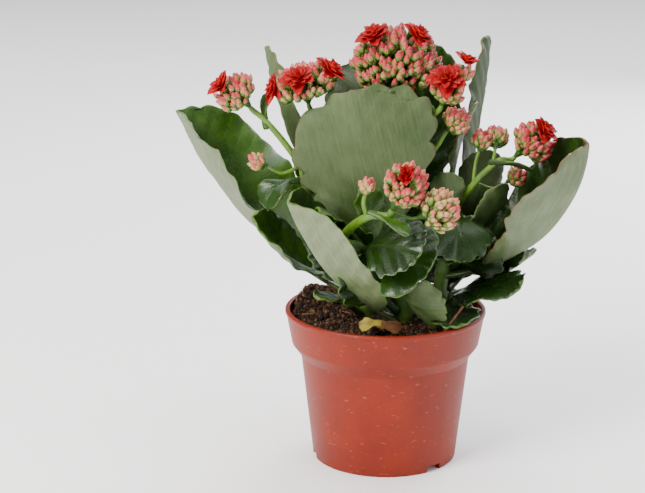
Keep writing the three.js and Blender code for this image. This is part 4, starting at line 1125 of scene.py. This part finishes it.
def sprayMesh(name, lobes, root, avoid, seed):
    # lobes of buds on forked stalks that leave the root; avoid holds the places of open flowers
    rng = np.random.default_rng(seed)
    points, edges, girths, sizes, aims, ripes = [], [], [], [], [], []

    def addPath(path, thick):
        first = len(points)
        for i, point in enumerate(path):
            points.append(point)
            girths.append(thick[0] + (thick[1] - thick[0]) * i / (len(path) - 1))
            sizes.append(0)
            aims.append(upward)
            ripes.append(0)
        edges.extend((first + i, first + i + 1) for i in range(len(path) - 1))

    def bentPath(start, leave, end, arrive, count=6):
        reach = np.linalg.norm(end - start) * 0.45
        s = np.linspace(0, 1, count)[:, None]
        a, b, c, d = start, start + leave * reach, end - arrive * reach, end
        return (1 - s) ** 3 * a + 3 * s * (1 - s) ** 2 * b + 3 * s * s * (1 - s) * c + s ** 3 * d

    for number, (centre, axis, width, height, ripeness) in enumerate(lobes):
        centre, axis = np.array(centre, dtype=float), unit(axis)
        turn = turnTo(axis)
        foot = centre - axis * height / 2 * (1 + headSizes["lump"])
        if number or np.linalg.norm(root - foot) > 1:
            addPath(bentPath(root, unit(foot - root + axis * 2), foot, axis),
                    (headSizes["twig"], headSizes["twig"] * 0.9))
        area = math.pi * width * height * 1.05
        knotCount = max(4, int(area / headSizes["knotArea"]))
        knotBall = goldenBall(knotCount * 2)
        knotBall = knotBall[knotBall[:, 2] > -0.35]
        knots = centre + (knotBall * np.array([width, width,
                                               height]) / 2 * headSizes["knotShare"]) @ turn.T
        for knot in knots:
            addPath(bentPath(foot, unit(knot - foot), knot, unit(knot - foot + axis)),
                    (headSizes["twig"], headSizes["stem"] * 1.2))
        for share, lowest, growth in headSizes["layers"]:
            ball = goldenBall(int(area * share ** 2 / headSizes["spacing"] ** 2 * headSizes["packing"]))
            for direction in ball[ball[:, 2] > lowest]:
                jitter = unit(direction + rng.normal(0, 0.09, 3))
                taper = 1 + 0.42 * min(0, jitter[2])
                local = jitter * np.array([width * taper, width * taper, height]) / 2 * share
                tipAt = centre + turn @ (local * rng.uniform(0.88, 1.12))
                aim = unit(unit(turn @ local) * 0.75 + axis * 0.5 + upward * 0.3)
                if any(np.linalg.norm(tipAt - place) < keep for place, keep in avoid):
                    continue
                high = 0.5 + 0.5 * jitter[2]
                size = growth * rng.uniform(0.78, 1.12) * (0.76 + 0.3 * high) * headSizes["budLength"]
                base = tipAt - aim * size
                knot = knots[np.argmin(np.linalg.norm(knots - base, axis=1))]
                addPath(bentPath(knot, unit(base - knot + axis), base + aim * 0.3, aim, 5),
                        (headSizes["stem"], headSizes["stem"] * 0.75))
                points.append(base)
                girths.append(headSizes["stem"])
                sizes.append(size)
                aims.append(aim)
                ripes.append(np.clip(ripeness * (0.5 + 0.6 * high) * growth + rng.normal(0, 0.1), 0.02,
                                     1))
    values = {"thickness": np.array(girths) * mm, "budSize": np.array(sizes) * mm,
              "budAim": aims, "ripeness": ripes}
    moved = np.array(points) + upward * soilLevel
    return plainMesh(name, moved, edges=edges, values=values)


def growSpray(name, lobes, root, avoid, seed):
    bud = budShape()
    bud.data.transform(Matrix.Scale(1 / mm, 4))
    mesh = sprayMesh(name, lobes, root, avoid, seed)
    piece = growPiece(name, sprayTree, mesh, {
        "Bud": bud, "Stalk sides": 6, "Seed": seed, "Material": budSkin})
    bpy.data.objects.remove(bud)
    return piece


for number, (name, lobes) in enumerate(heads.items()):
    avoid = []
    for head, lobe, facing, petals, opening, size in flowers.values():
        if head == name:
            foot, facing = flowerPlace(head, lobe, facing)
            avoid += [(foot + facing * 5, 7.5 * size), (foot + facing * 10, 6.5 * size)]
    centre, axis, width, height = lobes[0][:4]
    root = np.array(centre) - unit(axis) * height / 2 * (1 + headSizes["lump"])
    spray = growSpray(camel(name), lobes, root, avoid, headSizes["seed"] + number)
    settle(spray, "bud_pink", name)
    print("buds:", name, len(spray.data.polygons), "faces")


# open double flowers: whorls of pointed petals, the outer ones flat and the inner ones upright
petalSizes = {"length": 10, "width": 6.4, "thickness": 0.5, "recurve": 0.16, "rows": 8, "columns": 5,
              "outerTilt": 76, "innerTilt": 14, "innerSize": 0.5, "seed": 40}


def petalShape():
    sizes = petalSizes
    s = np.linspace(0, 1, sizes["rows"])[:, None]
    v = np.linspace(-1, 1, sizes["columns"])[None, :]
    half = sizes["width"] / 2 * (np.sin(np.pi * s ** 0.85) ** 0.7 * 0.95 + 0.22 * (1 - s))
    x = v * half
    z = s * sizes["length"] + 0 * v
    y = (-sizes["recurve"] * sizes["length"] * s ** 2 + 0.16 * half * v ** 2 * 2
         + 0.25 * np.sin(s * 9) * np.abs(v))
    middle = np.stack([x, y, z], axis=-1)
    round_ = np.sqrt(1 - np.abs(v) ** 4) * np.sqrt(np.clip(1 - s ** 8, 0, 1))
    half = (sizes["thickness"] / 2 * round_)[..., None] * np.array([0, 1, 0])
    # the inner side looks along +Y
    upper, lower = middle + half, middle - half
    faces, inner = closedSheet(upper)
    faces = [face[::-1] for face in faces]
    ones = np.ones_like(x)
    where = bothSides(np.stack([v * ones, s * ones, ones], axis=-1),
                      np.stack([v * ones, s * ones, 0 * ones], axis=-1), inner)
    return addPiece("petalShape", plainMesh("petalShape", bothSides(upper, lower, inner), faces=faces,
                                            values={"petalPlace": where}))


flowerTree, group = startTree("doubleFlower", [
    ("Petal", "NodeSocketObject"), ("Petals", "NodeSocketInt"), ("Outer tilt", "NodeSocketFloat"),
    ("Inner tilt", "NodeSocketFloat"), ("Inner size", "NodeSocketFloat"), ("Size", "NodeSocketFloat"),
    ("Seed", "NodeSocketInt"), ("Material", "NodeSocketMaterial")])
line = addNode(flowerTree, "GeometryNodeMeshLine", {"Count": group["Petals"], "Offset": (0, 0, 0.00005)})
number = addNode(flowerTree, "GeometryNodeInputIndex").outputs[0]
share = addNode(flowerTree, "ShaderNodeMath", {0: number, 1: group["Petals"]},
                operation="DIVIDE").outputs[0]
golden = addNode(flowerTree, "ShaderNodeMath", {0: number, 1: math.pi * (3 - math.sqrt(5))},
                 operation="MULTIPLY").outputs[0]
stray = addNode(flowerTree, "FunctionNodeRandomValue",
                {2: -0.16, 3: 0.16, "Seed": group["Seed"]}).outputs[1]
turn = addNode(flowerTree, "ShaderNodeMath", {0: golden, 1: stray}, operation="ADD").outputs[0]
tilt = addNode(flowerTree, "ShaderNodeMapRange", {0: share, 1: 0, 2: 1, 3: group["Outer tilt"],
                                                  4: group["Inner tilt"]}).outputs[0]
nod = addNode(flowerTree, "FunctionNodeRandomValue", {2: -0.17, 3: 0.17, "Seed": 7}).outputs[1]
leaning = addNode(flowerTree, "ShaderNodeMath", {0: tilt, 1: nod}, operation="ADD").outputs[0]
roll = addNode(flowerTree, "FunctionNodeRandomValue", {2: -0.3, 3: 0.3, "Seed": 8}).outputs[1]
euler = addNode(flowerTree, "ShaderNodeCombineXYZ", {0: leaning, 1: roll, 2: turn}).outputs[0]
rotation = addNode(flowerTree, "FunctionNodeEulerToRotation", {0: euler}).outputs[0]
shrink = addNode(flowerTree, "ShaderNodeMapRange", {0: share, 1: 0, 2: 1, 3: 1,
                                                    4: group["Inner size"]}).outputs[0]
vary = addNode(flowerTree, "FunctionNodeRandomValue", {2: 0.86, 3: 1.1, "Seed": 9}).outputs[1]
sized = addNode(flowerTree, "ShaderNodeMath", {0: shrink, 1: vary}, operation="MULTIPLY").outputs[0]
sized = addNode(flowerTree, "ShaderNodeMath", {0: sized, 1: group["Size"]},
                operation="MULTIPLY").outputs[0]
petalObject = addNode(flowerTree, "GeometryNodeObjectInfo",
                      {"Object": group["Petal"]}).outputs["Geometry"]
whorls = addNode(flowerTree, "GeometryNodeInstanceOnPoints",
                 {"Points": line.outputs[0], "Instance": petalObject, "Rotation": rotation,
                  "Scale": sized})
endTree(flowerTree, whorls.outputs[0], group["Material"])

petalPattern = petalShape()
for number, (name, (head, lobe, facing, petals, opening, size)) in enumerate(flowers.items()):
    foot, facing = flowerPlace(head, lobe, facing)
    flower = growPiece(camel(name), flowerTree, bpy.data.meshes.new(name), {
        "Petal": petalPattern, "Petals": petals, "Size": size, "Seed": petalSizes["seed"] + number,
        "Outer tilt": math.radians(petalSizes["outerTilt"]) * opening,
        "Inner tilt": math.radians(petalSizes["innerTilt"]) * opening,
        "Inner size": petalSizes["innerSize"], "Material": petalSkin})
    turn = Vector((0, 0, 1)).rotation_difference(Vector(facing)).to_matrix().to_4x4()
    place = Matrix.Translation(Vector((foot + facing * 0.5 + upward * soilLevel) * mm))
    flower.data.transform(place @ turn)
    settle(flower, "petal_red", name)
bpy.data.objects.remove(petalPattern)
print("flowers opened:", len(flowers))


# flower stalks: shoot and height on it, points on the way, head or end, radii, side branches, bracts
stalks = {
    "stalk_left": {
        "shoot": "left", "height": 79, "via": [(-52, -8, 94), (-63, -9, 107)], "head": "bud_head_left",
        "radii": (1.8, 1.4), "branches": [((-44, -8, 82), (-53, -12, 79), (-62, -14, 84), 10, 0.5)],
        "bracts": [((-62, -8, 106), (-60, -4, 119), (-0.8, -0.5, 0.2), 9)]},
    "stalk_upper_left": {
        "shoot": "back", "height": 49, "via": [(-14, 4, 74),
                                               (-30, -3, 98)], "head": "bud_head_upper_left",
        "radii": (1.8, 1.4)},
    "stalk_top_a": {
        "shoot": "back", "height": 57, "via": [(-4, -1, 78), (-7, -1, 96)], "end": (-6, 0, 110),
        "radii": (1.6, 1.3)},
    "stalk_top_b": {
        "shoot": "back", "height": 62, "via": [(4, 4, 84)], "head": "bud_head_top", "radii": (2.2, 1.8)},
    "stalk_upper_right": {
        "shoot": "back", "height": 58, "via": [(11, 2, 80),
                                               (18, -10, 104)], "head": "bud_head_upper_right",
        "radii": (1.8, 1.4), "bracts": [((18, -10, 103), (18, -18, 118), (0.5, 0.7, 0.1), 12)]},
    "stalk_middle": {
        "shoot": "back", "height": 48, "via": [(16, -4, 78), (26, -8, 94)], "head": "bud_head_middle",
        "radii": (1.6, 1.2)},
    "stalk_right": {
        "shoot": "right", "height": 58, "via": [(43, -9, 72), (50, -12, 81), (57, -13, 87)],
        "head": "bud_head_right", "radii": (1.9, 1.4),
        "branches": [((53, -12, 84), (54, -11, 88), (55, -6, 93), 13, 0.6),
                     ((44, -9, 73), (45, -7, 84), (47, -6, 92), 11, 0.65),
                     ((45, -9, 74), (56, -3, 70), (63, -1, 74), 11, 0.7)],
        "bracts": [((56, -13, 86), (74, -14, 81), (0, 0.3, 0.9), 10)]},
    "stalk_front": {
        "shoot": "front", "height": 49, "via": [(-16, -48, 61), (-7, -56, 68)], "head": "bud_head_front",
        "radii": (2.4, 1.9), "branches": [((-9, -54, 67), (-11, -57, 74), (-10, -58, 80), 9, 0.5)],
        "bracts": [((-5, -57, 69), (11, -66, 61), (0.1, -0.2, 0.9), 10)]},
}
bractLook = {**usualLook, "pale": 0.4, "fresh": 0.62, "red": 0.0, "wave": 0.3, "crinkle": 0.1}
bractThickness = 1.1

for number, (name, stalk) in enumerate(stalks.items()):
    radii = stalk["radii"]
    start, outward = startFrom(stalk["shoot"], stalk["height"], stalk["via"][0], 0)
    if "head" in stalk:
        centre, axis, width, height = heads[stalk["head"]][0][:4]
        foot = np.array(centre) - unit(axis) * (height / 2 * (1 + headSizes["lump"]) + leafSizes["gap"])
        ending = [foot - unit(axis) * radii[1] * 1.5, foot + unit(axis) * 1.5]
    else:
        ending = [stalk["end"]]
    path = smoothPath([start - outward * 2, start + outward * radii[0] * 1.5, *stalk["via"], *ending], 50)
    girth = np.linspace(*radii, 50)
    girth[-3:] *= (0.9, 0.75, 0.5)
    paths = [(path + upward * soilLevel, girth)]
    for j, (root, via, end, size, ripeness) in enumerate(stalk.get("branches", [])):
        twig = smoothPath([root, via, end], 20)
        paths.append((twig + upward * soilLevel, np.linspace(radii[1] * 0.75, radii[1] * 0.5, 20)))
        axis = unit(np.array(end) - via)
        lobe = (np.array(end) + axis * size * 0.42, axis, size, size * 1.05, ripeness)
        sideHead = growSpray(camel(f"{name}_side_{j + 1}"), [lobe], np.array(end, dtype=float), [],
                             60 + 5 * number + j)
        settle(sideHead, "bud_pink")
    stem = growPiece(camel(name), stemTree, pathsMesh(name, paths), {"Sides": 14, "Material": stalkSkin})
    settle(stem, "stalk_green", name)
    for j, (root, tip, faces, width) in enumerate(stalk.get("bracts", [])):
        mesh = leafMesh("bract", root, tip, faces, width, 1, 8, 8, bractLook, bractThickness, 80 + number)
        settle(addPiece(camel(f"{name}_bract_{j + 1}"), mesh, leafSkin), "leaf_green")
print("stalks grown:", len(stalks))


# litter on the soil: a reddish dry twig by the lip, and a withered scrap of leaf
twigPath = smoothPath([(27, -38, 0), (31, -38.5, 6), (35, -38, 12), (39, -36, 17)], 24)
twig = growPiece("dryTwig", stemTree, pathsMesh("dryTwig", [
    (twigPath + upward * soilLevel, 0.6 + 0.12 * np.sin(np.arange(24) * 1.3))]), {"Sides": 8,
                                                                                  "Material": driedTwig})
settle(twig, "shoot_green")
scrapLook = {**usualLook, "wave": 1.2, "crinkle": 0.4}
scraps = {
    "witheredScrap": ((-3, -36, 7), (-13, -38, 6), (-0.3, -0.8, 0.5), 6, witheredLeaf),
    "driedScrap": ((-2, -36, 6), (8, -37, 5), (0.2, -0.8, 0.5), 6, strawFibre),
}
for seed, (name, (root, tip, faces, width, material)) in enumerate(scraps.items()):
    scrap = leafMesh(name, root, tip, faces, width, 2, 20, 20, scrapLook, 0.7, 91 + seed)
    settle(addPiece(name, scrap, material), "leaf_green")
print("litter laid")
